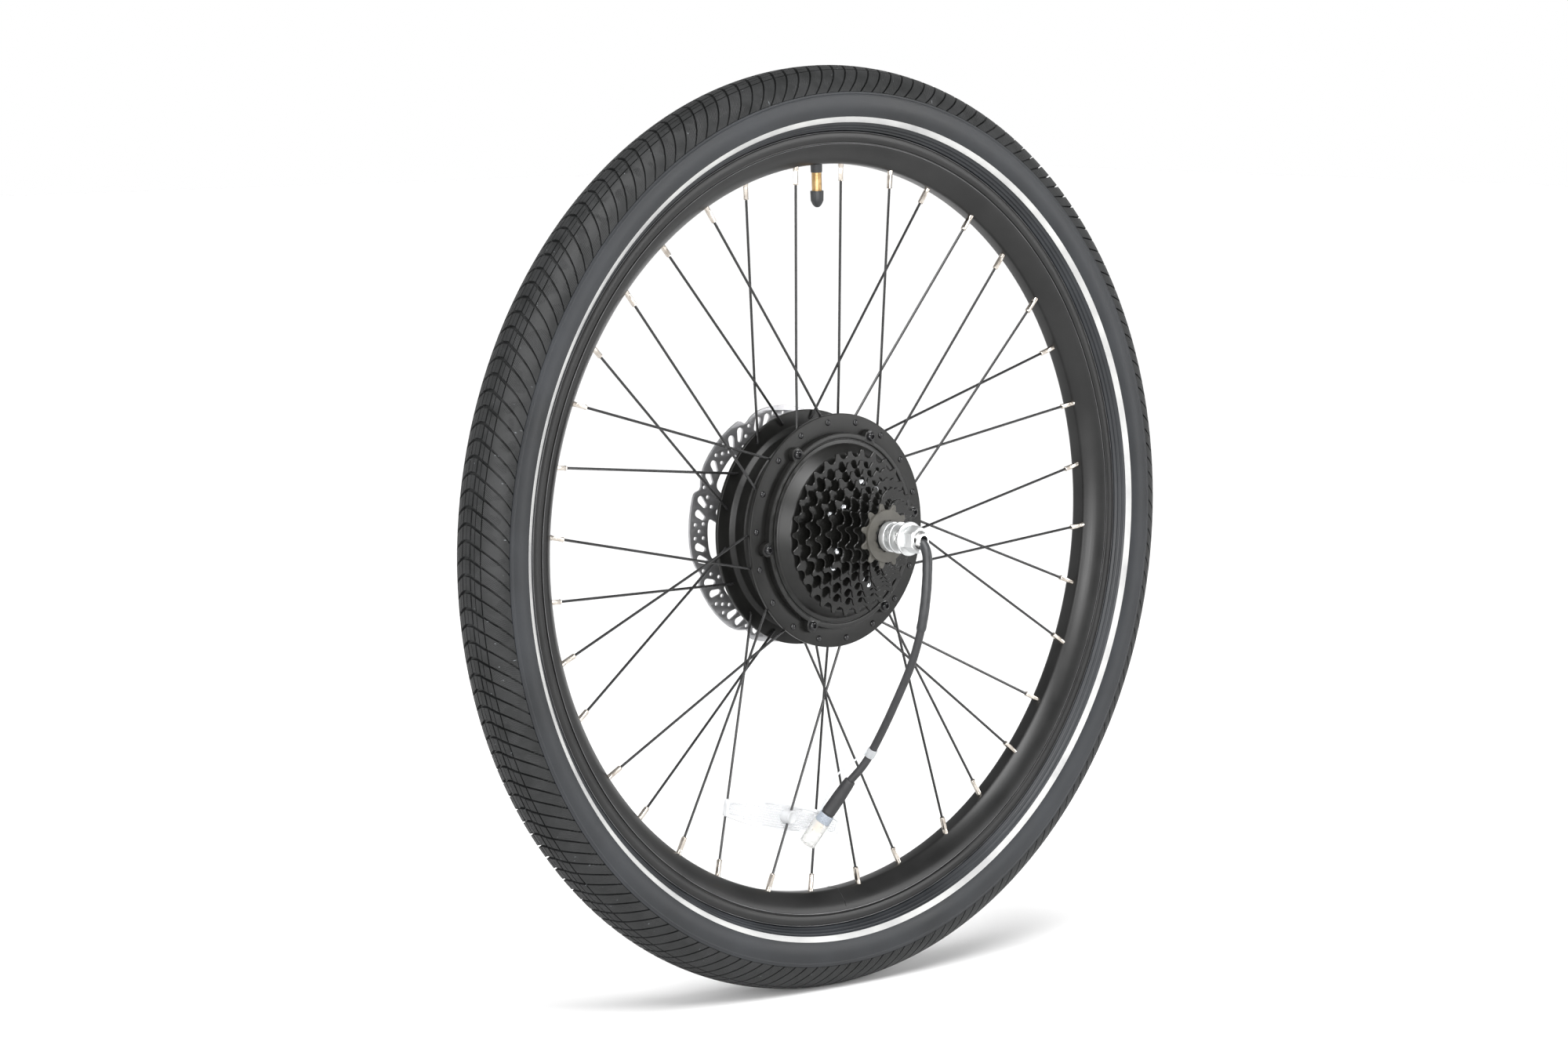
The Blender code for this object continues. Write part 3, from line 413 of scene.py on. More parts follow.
# ---------------------------------------------------------------- material nodes
def add_node(tree, kind, **settings):
    node = tree.nodes.new(kind)
    for name, value in settings.items():
        setattr(node, name, value)
    return node


def feed(tree, socket, value):
    """Links an output to a socket, or sets the socket's own value."""
    if isinstance(value, bpy.types.NodeSocket):
        tree.links.new(value, socket)
    else:
        socket.default_value = value


def linked(tree, node, **sockets):
    """Feeds a node's inputs by name."""
    for name, value in sockets.items():
        feed(tree, node.inputs[name.replace("_", " ")], value)
    return node


def math_node(tree, operation, *values):
    node = add_node(tree, "ShaderNodeMath", operation=operation)
    for socket, value in zip(node.inputs, values):
        feed(tree, socket, value)
    return node.outputs[0]


def object_point(tree):
    return add_node(tree, "ShaderNodeTexCoord").outputs["Object"]


def wheel_point(tree, mean_radius):
    """(distance from the axle's axis, length round the wheel, y) of the shaded point."""
    parts = linked(tree, add_node(tree, "ShaderNodeSeparateXYZ"), Vector=object_point(tree)).outputs
    squares = math_node(tree, "ADD", math_node(tree, "MULTIPLY", parts["X"], parts["X"]),
                        math_node(tree, "MULTIPLY", parts["Z"], parts["Z"]))
    radius = math_node(tree, "SQRT", squares)
    angle = math_node(tree, "ARCTAN2", parts["Z"], parts["X"])
    around = math_node(tree, "MULTIPLY", angle, mean_radius)
    return linked(tree, add_node(tree, "ShaderNodeCombineXYZ"), X=radius, Y=around, Z=parts["Y"]).outputs[0]


def scaled(tree, vector, factors):
    node = add_node(tree, "ShaderNodeVectorMath", operation="MULTIPLY")
    feed(tree, node.inputs[0], vector)
    feed(tree, node.inputs[1], factors)
    return node.outputs[0]


def noise(tree, vector, scale, detail=3.0, roughness=0.55):
    node = add_node(tree, "ShaderNodeTexNoise")
    linked(tree, node, Vector=vector, Scale=scale, Detail=detail, Roughness=roughness)
    return node.outputs["Fac"]


def spread(tree, value, lowest, highest, start=0.3, end=0.7):
    node = add_node(tree, "ShaderNodeMapRange")
    linked(tree, node, Value=value, From_Min=start, From_Max=end, To_Min=lowest, To_Max=highest)
    return node.outputs["Result"]


def between(tree, factor, first, second):
    """A colour between two, which are outputs or RGBA values."""
    node = add_node(tree, "ShaderNodeMix", data_type="RGBA")
    feed(tree, node.inputs["Factor"], factor)
    feed(tree, node.inputs[6], first)
    feed(tree, node.inputs[7], second)
    return node.outputs[2]


def bump(tree, height, distance, strength=1.0):
    node = add_node(tree, "ShaderNodeBump")
    linked(tree, node, Height=height, Distance=distance, Strength=strength)
    return node


def bump_over(tree, shader, height, distance, strength):
    """Adds a relief on top of the one that the shader has."""
    under = shader.inputs["Normal"].links[0].from_socket
    node = linked(tree, bump(tree, height, distance, strength), Normal=under)
    tree.links.new(node.outputs["Normal"], shader.inputs["Normal"])


def make_look(name, darker, lighter, roughness, metallic=0.0, grain=900.0, relief=0.00002,
              patches=25.0, stretch=None, mean_radius=0.1, **sockets):
    """A material whose colour drifts in patches and whose surface has a fine grain.

    roughness is a (lowest, highest) pair. With stretch, the grain is drawn out round the wheel,
    as turning and brushing leave it.
    """
    made = bpy.data.materials.new(name)
    made.use_nodes = True
    tree = made.node_tree
    shader = tree.nodes["Principled BSDF"]
    shader.inputs["Metallic"].default_value = metallic
    for socket, value in sockets.items():
        shader.inputs[socket.replace("_", " ")].default_value = value
    place = object_point(tree)
    fine_place = place if stretch is None else scaled(tree, wheel_point(tree, mean_radius), stretch)
    drift = noise(tree, place, patches, 4.0)
    fine = noise(tree, fine_place, grain, 2.0)
    colour = between(tree, spread(tree, drift, 0.0, 1.0), (*darker, 1.0), (*lighter, 1.0))
    weighed = [math_node(tree, "MULTIPLY", drift, 0.6), math_node(tree, "MULTIPLY", fine, 0.4)]
    mixed = math_node(tree, "ADD", *weighed)
    linked(tree, shader, Base_Color=colour, Roughness=spread(tree, mixed, *roughness),
           Normal=bump(tree, fine, relief).outputs["Normal"])
    made.diffuse_color = (*lighter, 1.0)
    return made


def tread_look():
    """Dark rubber with fine diagonal hatching moulded in patches, and pale specks."""
    made = make_look("tread_rubber", (0.0075, 0.008, 0.008), (0.017, 0.0175, 0.018), (0.44, 0.64),
                     grain=1400.0, relief=0.00007, patches=60.0, Specular_IOR_Level=0.22)
    tree = made.node_tree
    shader = tree.nodes["Principled BSDF"]
    place = wheel_point(tree, TYRE_RADIUS)
    flat_place = scaled(tree, place, (0.0, 1.0, 1.0))
    hatch = add_node(tree, "ShaderNodeTexWave", wave_type="BANDS", bands_direction="DIAGONAL")
    linked(tree, hatch, Vector=flat_place, Scale=430.0, Distortion=0.6)
    patch = spread(tree, noise(tree, place, 80.0, 1.0), 0.0, 1.0, 0.47, 0.55)
    ridges = math_node(tree, "MULTIPLY", hatch.outputs["Fac"], patch)
    bump_over(tree, shader, ridges, 0.00022, 0.9)
    specks = add_node(tree, "ShaderNodeTexVoronoi", feature="F1")
    linked(tree, specks, Vector=flat_place, Scale=150.0)
    near = spread(tree, specks.outputs["Distance"], 0.55, 0.0, 0.030, 0.075)
    under = shader.inputs["Base Color"].links[0].from_socket
    linked(tree, shader, Base_Color=between(tree, near, under, (0.16, 0.17, 0.18, 1.0)))
    return made


def reflective_look():
    """Silver reflective tape with its fine woven backing."""
    made = make_look("reflective_tape", (0.26, 0.26, 0.26), (0.40, 0.40, 0.39), (0.35, 0.55), grain=500.0,
                     relief=0.00003)
    tree = made.node_tree
    shader = tree.nodes["Principled BSDF"]
    cells = add_node(tree, "ShaderNodeTexVoronoi", feature="F1")
    linked(tree, cells, Vector=wheel_point(tree, STRIPE_RADIUS), Scale=1500.0)
    bump_over(tree, shader, cells.outputs["Distance"], 0.00008, 0.7)
    return made


def clear_look(name, tint, roughness, transmission, ior):
    lighter = tuple(min(1.0, share * 1.04) for share in tint)
    return make_look(name, tint, lighter, roughness, relief=0.00001, grain=400.0,
                     Transmission_Weight=transmission, IOR=ior)


# look: material, darker, lighter, roughness, metallic, grain, relief, patches, specular, other settings
LOOK_TABLE = {
    "sidewall": ("sidewall_rubber", (0.006, 0.0068, 0.008), (0.0155, 0.0172, 0.020), (0.34, 0.50),
        0.0, 700.0, 0.00003, 14.0, 0.32, {}),
    "tube": ("butyl_rubber", (0.018, 0.018, 0.019), (0.030, 0.030, 0.031), (0.45, 0.65),
        0.0, 900.0, 0.00002, 25.0, 0.5, {}),
    "rim": ("rim_anodised", (0.005, 0.005, 0.005), (0.010, 0.010, 0.010), (0.28, 0.38),
        0.0, 500.0, 0.000004, 25.0, 0.26, dict(mean_radius=0.285, stretch=(3.0, 0.02, 3.0))),
    # edge: a lighter metallic colour that paints the thin bright highlight lines along the rim's side walls
    "edge": ("painted_highlight_line", (0.10, 0.10, 0.105), (0.22, 0.22, 0.225), (0.25, 0.40),
        0.8, 900.0, 0.00001, 30.0, 0.5, {}),
    "shell": ("hub_black", (0.0035, 0.0035, 0.0033), (0.0075, 0.0075, 0.007), (0.30, 0.42),
        0.0, 1600.0, 0.00003, 40.0, 0.22, {}),
    "cover": ("cover_black", (0.004, 0.004, 0.0038), (0.0085, 0.0085, 0.008), (0.28, 0.40),
        0.0, 1600.0, 0.000025, 40.0, 0.28, {}),
    "spoke": ("spoke_black", (0.006, 0.006, 0.006), (0.013, 0.013, 0.0135), (0.20, 0.32),
        0.0, 2500.0, 0.00001, 90.0, 0.40, {}),
    "head": ("black_screw", (0.006, 0.006, 0.0065), (0.010, 0.010, 0.011), (0.05, 0.12),
        0.1, 2500.0, 0.00001, 300.0, 0.38, {}),
    "nipple": ("nickel_plate", (0.34, 0.30, 0.26), (0.60, 0.56, 0.51), (0.14, 0.28),
        1.0, 2500.0, 0.00002, 200.0, 0.5, {}),
    "sprocket": ("black_sprocket", (0.0025, 0.0025, 0.0023), (0.006, 0.006, 0.0055), (0.16, 0.26),
        0.0, 2200.0, 0.00001, 60.0, 0.18, dict(Coat_Weight=0.12, Coat_Roughness=0.06)),
    "small_sprocket": ("phosphated_steel", (0.040, 0.038, 0.033), (0.062, 0.059, 0.051), (0.45, 0.60),
        0.0, 2600.0, 0.00003, 90.0, 0.35, {}),
    "dark_steel": ("machined_steel", (0.05, 0.05, 0.05), (0.10, 0.10, 0.10), (0.30, 0.45),
        0.9, 900.0, 0.00002, 25.0, 0.5, dict(stretch=(3.0, 0.02, 3.0), mean_radius=0.015)),
    "rivet": ("bright_rivet", (0.68, 0.70, 0.73), (0.85, 0.87, 0.90), (0.12, 0.22),
        1.0, 3000.0, 0.00001, 25.0, 0.5, {}),
    "disc": ("disc_steel", (0.30, 0.30, 0.31), (0.45, 0.45, 0.46), (0.30, 0.44),
        0.86, 700.0, 0.00003, 25.0, 0.5, dict(stretch=(4.0, 0.03, 4.0), mean_radius=0.08)),
    "zinc": ("zinc_plate", (0.50, 0.51, 0.51), (0.66, 0.67, 0.67), (0.28, 0.42),
        0.85, 1800.0, 0.00003, 160.0, 0.5, {}),
    "axle": ("plated_axle", (0.55, 0.55, 0.55), (0.74, 0.74, 0.73), (0.18, 0.32),
        1.0, 1500.0, 0.00001, 200.0, 0.5, {}),
    "brass": ("brass_stem", (0.36, 0.23, 0.10), (0.50, 0.34, 0.17), (0.30, 0.42),
        1.0, 2200.0, 0.00002, 200.0, 0.5, {}),
    "contact": ("gilt_contact", (0.72, 0.48, 0.20), (0.86, 0.62, 0.30), (0.20, 0.32),
        0.8, 2200.0, 0.00001, 200.0, 0.5, {}),
    "black_plastic": ("black_plastic", (0.012, 0.013, 0.014), (0.022, 0.023, 0.025), (0.38, 0.52),
        0.0, 2200.0, 0.00003, 160.0, 0.35, {}),
    "jacket": ("cable_jacket", (0.014, 0.014, 0.015), (0.024, 0.024, 0.026), (0.44, 0.58),
        0.0, 2400.0, 0.00004, 80.0, 0.35, {}),
    "sleeve": ("shrink_sleeve", (0.015, 0.016, 0.017), (0.026, 0.027, 0.029), (0.34, 0.48),
        0.0, 1200.0, 0.00006, 120.0, 0.35, {}),
    "overmould": ("connector_rubber", (0.012, 0.012, 0.013), (0.022, 0.022, 0.023), (0.50, 0.65),
        0.0, 1600.0, 0.00007, 120.0, 0.35, {}),
    "copper": ("enamelled_copper", (0.42, 0.16, 0.06), (0.60, 0.26, 0.10), (0.25, 0.40),
        0.9, 900.0, 0.00002, 25.0, 0.5, {}),
    "lamination": ("stator_steel", (0.20, 0.20, 0.21), (0.32, 0.32, 0.33), (0.40, 0.55),
        0.8, 900.0, 0.00002, 25.0, 0.5, {}),
    "magnet": ("nickel_magnet", (0.45, 0.45, 0.46), (0.60, 0.60, 0.61), (0.22, 0.34),
        1.0, 900.0, 0.00002, 25.0, 0.5, {}),
    "nylon": ("gear_nylon", (0.62, 0.58, 0.46), (0.74, 0.70, 0.58), (0.42, 0.55),
        0.0, 900.0, 0.00002, 25.0, 0.5, {}),
}

# look: material, tint, roughness, transmission, index of refraction
CLEAR_TABLE = {
    "strap": ("milky_strap", (0.70, 0.72, 0.74), (0.30, 0.42), 0.70, 1.47),
    "cap_ring": ("milky_ring", (0.40, 0.44, 0.50), (0.22, 0.34), 0.55, 1.47),
    "cap": ("clear_cap", (0.84, 0.84, 0.83), (0.22, 0.34), 0.78, 1.35),
    "reflector": ("clear_reflector", (0.84, 0.85, 0.86), (0.16, 0.26), 0.66, 1.40),
}


def make_looks():
    looks = {"tread": tread_look(), "stripe": reflective_look()}
    for look, (*values, specular, settings) in LOOK_TABLE.items():
        looks[look] = make_look(*values, Specular_IOR_Level=specular, **settings)
    for look, row in CLEAR_TABLE.items():
        looks[look] = clear_look(*row)
    return looks


LOOKS = make_looks()


# ---------------------------------------------------------------- tyre
def tyre_section(steps=12):
    """The tread's surface from the crown to the stripe side, as (radius, y) points at y >= 0."""
    crown = TYRE_RADIUS
    widest = TYRE_HALF_WIDTH
    points = [
        (crown, 0.0), (crown - 0.0005, 0.0050), (crown - 0.0019, 0.0100), (crown - 0.0044, 0.0150),
        (crown - 0.0083, 0.0195), (crown - 0.0131, 0.0230), (crown - 0.0185, 0.0250),
        (crown - 0.0270, widest), (crown - 0.0340, 0.0252), (STRIPE_RADIUS, 0.0229),
        (0.3032, 0.0198), (0.3003, 0.0166), (0.2990, 0.0147), (0.2984, 0.0134), (0.2975, 0.0127),
    ]
    return smooth_line(points, steps)


def section_at(section, distances):
    """Points and outward normals at distances along the section."""
    along = lengths_along(section)
    radius = np.interp(distances, along, section[:, 0])
    y = np.interp(distances, along, section[:, 1])
    slope = np.gradient(section, along, axis=0)
    slope_radius = np.interp(distances, along, slope[:, 0])
    slope_y = np.interp(distances, along, slope[:, 1])
    size = np.hypot(slope_radius, slope_y)
    return radius, y, slope_y / size, -slope_radius / size


def tread_rows():
    """(distance from the crown's middle, depth share of the grooves round the wheel) across one half."""
    rows = [(0.00000, 0.26), (0.00018, 0.26), (0.00024, 0.0), (0.0012, 0.0), (0.0025, 0.0),
            (0.00365, 0.0), (0.00380, 0.90), (0.00475, 0.90), (0.00490, 0.0), (0.0064, 0.0),
            (0.00785, 0.0), (0.00792, 0.42), (0.00832, 0.42), (0.00839, 0.0), (0.0098, 0.0), (0.0113, 0.0),
            (0.01265, 0.0), (0.01277, 0.60), (0.01340, 0.60), (0.01352, 0.0)]
    shoulder = np.linspace(0.0147, TREAD_END - 0.0005, 17)
    return rows + [(s, 0.0) for s in shoulder] + [(TREAD_END, 0.20), (TREAD_END + 0.0007, 1.15)]


def groove_sweep(distance):
    """How far round the wheel a side groove has swept at a distance from the crown's middle."""
    line = smooth_line(GROOVE_SWEEP, 6)
    return float(np.interp(distance, line[:, 0], line[:, 1]))


def side_groove_depth(distance):
    """Depth share of the grooves across the tread; they run out on the shoulder."""
    if distance < 0.0068:
        return 0.85
    return 1.0 - 0.45 * max(0.0, (distance - 0.022) / 0.0125)


def make_tread(section):
    """Centre blocks, second blocks and long swept shoulder ribs, all repeated round the wheel."""
    # (share of the pitch, 1.0 in a groove): the groove's near edge, its floor, its far edge, the block
    groove_end, block_start = 0.140, 0.152
    columns = ((0.0, 0.0), (0.012, 1.0), (groove_end, 1.0), (block_start, 0.0), (0.34, 0.0), (0.55, 0.0),
               (0.78, 0.0))
    pitch = 2 * math.pi / TREAD_PITCHES
    around = np.array([(number + share) * pitch for number in range(TREAD_PITCHES) for share, _ in columns])
    far_edge = np.tile([share in (groove_end, block_start) for share, _ in columns], TREAD_PITCHES)
    grooved = np.tile([deep for _, deep in columns], TREAD_PITCHES)
    half = tread_rows()
    rows = []
    for side in (1, -1):
        part = half if side > 0 else half[1:]
        distances = np.array([s for s, _ in part])
        radius, y, out_radius, out_y = section_at(section, distances)
        strips = []
        for index, (distance, ring_depth) in enumerate(part):
            depth = np.maximum(ring_depth, grooved * side_groove_depth(distance)) * TREAD_DEPTH
            widening = 0.05 * pitch if distance < 0.0130 else 0.0
            angles = around + groove_sweep(distance) / TYRE_RADIUS + far_edge * widening
            across = (y[index] - depth * out_y[index]) * side
            strips.append(axle_ring(radius[index] - depth * out_radius[index], across, angles))
        rows = strips[::-1] if side > 0 else rows + strips
    vertices, faces = grid(np.array(rows), close_columns=True)
    item = add_mesh("tyre_tread", vertices, faces, turn_outwards=False)
    dress(item, "tread", "wheel", smooth_deg=28.0)


def make_casing(section):
    """Smooth sidewalls under and beside the tread, down to the beads, and the casing's inner face."""
    along = lengths_along(section)
    under_tread = np.linspace(0.0, TREAD_END - 0.001, 14)
    distances = np.concatenate([under_tread, np.linspace(TREAD_END, along[-1], 110)])
    radius, y, out_radius, out_y = section_at(section, distances)
    sunk = np.where(distances < TREAD_END - 0.0002, TREAD_DEPTH * 1.2, 0.0)
    rib = 0.00025 * np.exp(-((distances - TREAD_END - 0.0022) / 0.0005) ** 2)
    bead_ribs = sum(0.00040 * np.exp(-((radius - at) / 0.00045) ** 2) for at in (0.3032, 0.3012, 0.2994))
    lift = rib + bead_ribs - sunk
    half = np.stack([radius + lift * out_radius, y + lift * out_y], axis=1).tolist()
    half += [[0.2962, 0.0125], [0.2926, 0.0124], [0.2926, 0.0096], [0.2962, 0.0099], [0.3020, 0.0140],
             [0.3075, 0.0195], [0.3195, 0.0228], [0.3310, 0.0198], [0.3385, 0.0110]]
    outline = half + [[0.3412, 0.0]] + [[r, -w] for r, w in reversed(half[1:])]
    item = turned("tyre_casing", outline, steps=300)
    dress(item, "sidewall", "wheel", ("tyre",))


def make_stripes(section):
    """Reflective tape, a third of a millimetre proud of each sidewall."""
    along = lengths_along(section)
    middle = float(np.interp(-STRIPE_RADIUS, -section[:, 0], along))
    distances = np.linspace(middle - STRIPE_WIDTH / 2, middle + STRIPE_WIDTH / 2, 8)
    radius, y, out_radius, out_y = section_at(section, distances)

    def lifted(index, rise):
        return radius[index] + rise * out_radius[index], y[index] + rise * out_y[index]

    outline = [lifted(index, 0.0003) for index in range(8)] + [lifted(7, -0.0002), lifted(0, -0.0002)]
    for side in (-1, 1):
        tape = turned(f"stripe_{side_name(side)}_side", [(r, side * w) for r, w in outline], steps=300)
        dress(tape, "stripe", "wheel")


# ---------------------------------------------------------------- rim, nipples and valve
def make_rim():
    """Double-walled section with the turned grooves of its side walls."""
    wide = RIM_HALF_WIDTH
    half = [
        (RIM_INNER_RADIUS, 0.0000), (RIM_INNER_RADIUS, 0.0040), (RIM_INNER_RADIUS + 0.0003, 0.0054),
        (0.2750, 0.0068), (0.2775, 0.0093), (0.2805, 0.0118), (0.2835, 0.0137), (0.2860, 0.0148),
        (0.2878, wide - 0.0003), (0.2888, wide - 0.0001), (0.2892, wide - 0.0004), (0.2894, wide - 0.0011),
        (0.2902, wide - 0.0011), (0.2904, wide - 0.0004), (0.2909, wide), (0.2965, wide),
        (0.2976, wide - 0.0003), (0.2983, wide - 0.0010), (RIM_FLANGE_RADIUS, wide - 0.0016),
        (RIM_FLANGE_RADIUS - 0.0002, 0.0131), (0.2968, 0.0130), (0.2919, 0.0130), (0.2916, 0.0108),
        (0.2893, 0.0062), (0.2890, 0.0),
    ]
    item = turned("rim_extrusion", half + [(r, -w) for r, w in reversed(half[1:-1])], steps=300)
    dress(item, "rim", "wheel", ("rim",), smooth_deg=40.0)
    # Thin rings of a lighter metallic colour on the rim's side walls: painted highlight lines
    for number, (radius, reach) in enumerate(((0.2890, 0.01520), (0.2979, 0.01490))):
        for side in (-1, 1):
            bead = circle(0.00022, 8, (radius, side * reach))
            edge = turned(f"rim_edge_{number + 1}_{side_name(side)}_side", bead, steps=240)
            dress(edge, "edge", "wheel")
    proud = RIM_INNER_RADIUS - 0.00005
    seam = [(proud, 0.0), (proud, 0.0048), (0.2774, 0.0093), (0.2834, 0.0138), (0.2864, 0.0150)]
    for side in (-1, 1):
        line = smooth_line([polar(r, VALVE_DEG + 180.0, side * w) for r, w in seam], 4)
        item = tube(f"rim_seam_{side_name(side)}_side", line, [0.00012] * len(line), 6)
        dress(item, "head", "wheel")


def key_flats(angles):
    """Four flats for the spoke key."""
    flat = 0.80
    return np.minimum(1.0, flat / np.maximum(np.abs(np.cos(angles)), np.abs(np.sin(angles))))


def make_spoke(number, nipple_deg, hole_deg, side, bow, pair):
    """A spoke from its round head in the flange to its nipple in the rim."""
    outer_face = DRIVE_FLANGE_Y if side < 0 else BRAKE_FLANGE_Y + FLANGE_THICKNESS
    inward = -side
    label = f"{side_name(side)}_{number}"
    elbow_y = outer_face + inward * (FLANGE_THICKNESS + SPOKE_RADIUS + 0.0003)
    hole = polar(SPOKE_CIRCLE_RADIUS, hole_deg)
    elbow = Vector((hole.x, elbow_y, hole.z))
    end = polar(NIPPLE_OUTER_END, nipple_deg, NIPPLE_Y[side])
    share = SPOKE_CIRCLE_RADIUS / (SPOKE_CIRCLE_RADIUS + NIPPLE_OUTER_END)
    crossing = elbow.lerp(end, share) + Vector((0.0, bow, 0.0))
    run = (end - crossing).normalized()
    lead = (crossing - elbow).normalized()
    through = Vector((hole.x, elbow_y - inward * 0.0016, hole.z))
    line = [Vector((hole.x, outer_face - inward * 0.0004, hole.z)), through]
    line += [curve_point(through, elbow, elbow + lead * 0.0024, step / 5) for step in range(1, 6)]
    line += [elbow.lerp(crossing, 0.5), crossing - lead * 0.004, crossing, crossing + run * 0.004]
    line.append(end - run * 0.0195)
    wire = tube(f"spoke_{label}", line, [SPOKE_RADIUS] * len(line), 10)
    dome = [(-0.0009, SPOKE_RADIUS)]
    dome += [(height, SPOKE_HEAD_RADIUS * width) for height, width in SPOKE_HEAD_DOME]
    head = lathe(f"spoke_head_{label}", Vector((hole.x, outer_face, hole.z)), (0.0, -inward, 0.0), dome, 20)
    dress(head, "head", "wheel", smooth_deg=60.0)
    dress(wire, "spoke", "wheel", (pair,))
    foot = end - run * (NIPPLE_OUTER_END - NIPPLE_INNER_END)
    nipple = lathe(f"nipple_{label}", foot, run, NIPPLE_STATIONS, 24, shaped_at(range(3, 8), key_flats))
    dress(nipple, "nipple", "wheel")


def make_spokes():
    """Eighteen crossing pairs, with all the heads outside and the spokes leaving inside the flanges."""
    for pair in range(SPOKE_COUNT // 2):
        side = 1 if pair % 2 else -1
        group = pair // 2
        leading = FIRST_NIPPLE_DEG + NIPPLE_PITCH_DEG * (4 * group + (1 if side < 0 else 2))
        trailing = leading + LACING_OFFSET_DEG
        node = f"{side_name(side)}_spoke_pair_{group + 1}"
        make_spoke(2 * group + 1, leading, trailing, side, CROSSING_BOW, node)
        make_spoke(2 * group + 2, trailing, leading, side, -CROSSING_BOW, node)


def grip_ribs(angles):
    return 1.0 + 0.022 * np.cos(14 * angles)


def make_valve():
    """Rubber foot, threaded brass barrel and ribbed dust cap."""
    inward = -polar(1.0, VALVE_DEG)
    foot = [(0.0, 0.0046), (0.0, 0.0046), (0.0004, 0.0044), (0.0056, 0.0043), (0.0062, 0.0041),
            (0.0064, 0.0036)]
    base = lathe("valve_foot", polar(0.2738, VALVE_DEG), inward, foot, 28)
    dress(base, "black_plastic", "wheel")
    stations = [(0.0, 0.0037), (0.0300, 0.0037)]
    for turn in range(24):
        start = 0.0330 + turn * 0.0008
        stations += [(start, 0.00375), (start + 0.0002, 0.0038), (start + 0.0004, 0.00375),
                     (start + 0.0006, 0.00366)]
    stations += [(0.0530, 0.0034), (0.0530, 0.0015)]
    stem = lathe("valve_barrel", polar(0.3040, VALVE_DEG), inward, stations, 28)
    dress(stem, "brass", "wheel", ("valve_stem",))
    cap = [(0.0, 0.0040), (0.0, 0.0046), (0.0004, 0.0049), (0.0012, 0.0049), (0.0072, 0.0047),
           (0.0078, 0.0045), (0.0104, 0.0033), (0.0118, 0.0021), (0.0124, 0.0010)]
    ribbed = shaped_at(range(1, 7), grip_ribs)
    piece = lathe("valve_dust_cap", polar(0.2540, VALVE_DEG), inward, cap, 56, ribbed)
    dress(piece, "black_plastic", "valve_cap", ("valve_cap",))


# ---------------------------------------------------------------- hub
def make_hub_shell():
    """Flanges with softened edges, a barrel with turned ridges, and the domed brake side."""
    drive_inner = DRIVE_FLANGE_Y + FLANGE_THICKNESS
    brake_outer = BRAKE_FLANGE_Y + FLANGE_THICKNESS
    outline = [
        (0.0700, DRIVE_FLANGE_Y), (DRIVE_FLANGE_RADIUS, DRIVE_FLANGE_Y), (DRIVE_FLANGE_RADIUS, drive_inner),
        (0.0780, drive_inner), (0.0742, drive_inner + 0.0030), (0.0742, -0.0040), (0.0758, -0.0034),
        (0.0758, -0.0010), (0.0746, -0.0006), (0.0746, 0.0060), (0.0756, 0.0066), (0.0756, 0.0078),
        (0.0742, 0.0084), (0.0742, 0.0178), (0.0775, BRAKE_FLANGE_Y), (BRAKE_FLANGE_RADIUS, BRAKE_FLANGE_Y),
        (BRAKE_FLANGE_RADIUS, brake_outer), (0.0770, brake_outer), (0.0758, 0.0268), (0.0700, 0.0330),
        (0.0560, 0.0372), (0.0552, 0.0366), (0.0530, 0.0372), (0.0520, 0.0384), (0.0310, 0.0452),
        (0.0292, 0.0500), (0.0170, 0.0503), (0.0148, 0.0500), (0.0144, 0.0425), (0.0105, 0.0425),
        (0.0105, 0.0392), (0.0300, 0.0392), (0.0660, 0.0292), (0.0700, 0.0235),
    ]
    item = turned("hub_casting", eased(outline, 0.0007), steps=220)
    dress(item, "shell", "wheel", ("hub_shell",), smooth_deg=40.0)


def screw_lobes(angles):
    """How far the cover's edge swells round each of its screws, with a smooth run-in."""
    edge, reach, softness = 0.0736, 0.0052, 0.0009
    spacing = 2 * math.pi / COVER_SCREWS
    off = (angles - math.radians(FIRST_NIPPLE_DEG) + spacing / 2) % spacing - spacing / 2
    inside = np.maximum(0.0, reach ** 2 - (SCREW_CIRCLE_RADIUS * np.sin(off)) ** 2)
    lobe = SCREW_CIRCLE_RADIUS * np.cos(off) + np.sqrt(inside)
    lobe = np.where(inside > 0, lobe, edge - 0.004 * np.minimum(3.0, np.abs(off) * 14))
    return softness * np.log(1.0 + np.exp((lobe - edge) / softness))


def make_side_cover():
    """Bevelled cover with a ring groove and a lobe at each screw."""
    face = DRIVE_FLANGE_Y - 0.0003
    outline = [
        (0.0112, -0.0238, 0), (0.0112, -0.0365, 0), (0.0090, -0.0365, 0), (0.0090, -0.0400, 0),
        (0.0140, -0.0400, 0), (0.0140, -0.0275, 0), (0.0588, -0.0275, 0), (0.0600, -0.0268, 0),
        (0.0648, -0.0200, 0), (0.0655, -0.0188, 0), (0.0661, -0.0185, 0), (0.0686, -0.0185, 0),
        (0.0688, -0.0177, 0), (0.0695, -0.0177, 0), (0.0698, -0.0188, 0), (0.0704, -0.0190, 0.35),
        (0.0726, -0.0190, 0.9), (0.0734, -0.0187, 1), (0.0736, -0.0180, 1), (0.0736, face, 1),
        (0.0696, face, 0), (0.0696, -0.0105, 0), (0.0576, -0.0105, 0), (0.0576, -0.0238, 0),
    ]
    item = turned("motor_side_cover", eased(outline, 0.00035, 2), steps=720, bulge=screw_lobes)
    dress(item, "cover", "wheel", ("side_cover",), smooth_deg=38.0)
    for index in range(COVER_SCREWS):
        angle = FIRST_NIPPLE_DEG + 360.0 * index / COVER_SCREWS
        seat = polar(SCREW_CIRCLE_RADIUS, angle, -0.0188)
        make_socket_screw(f"cover_screw_{index + 1}", seat, (0, -1, 0), 0.0034, 0.0026)


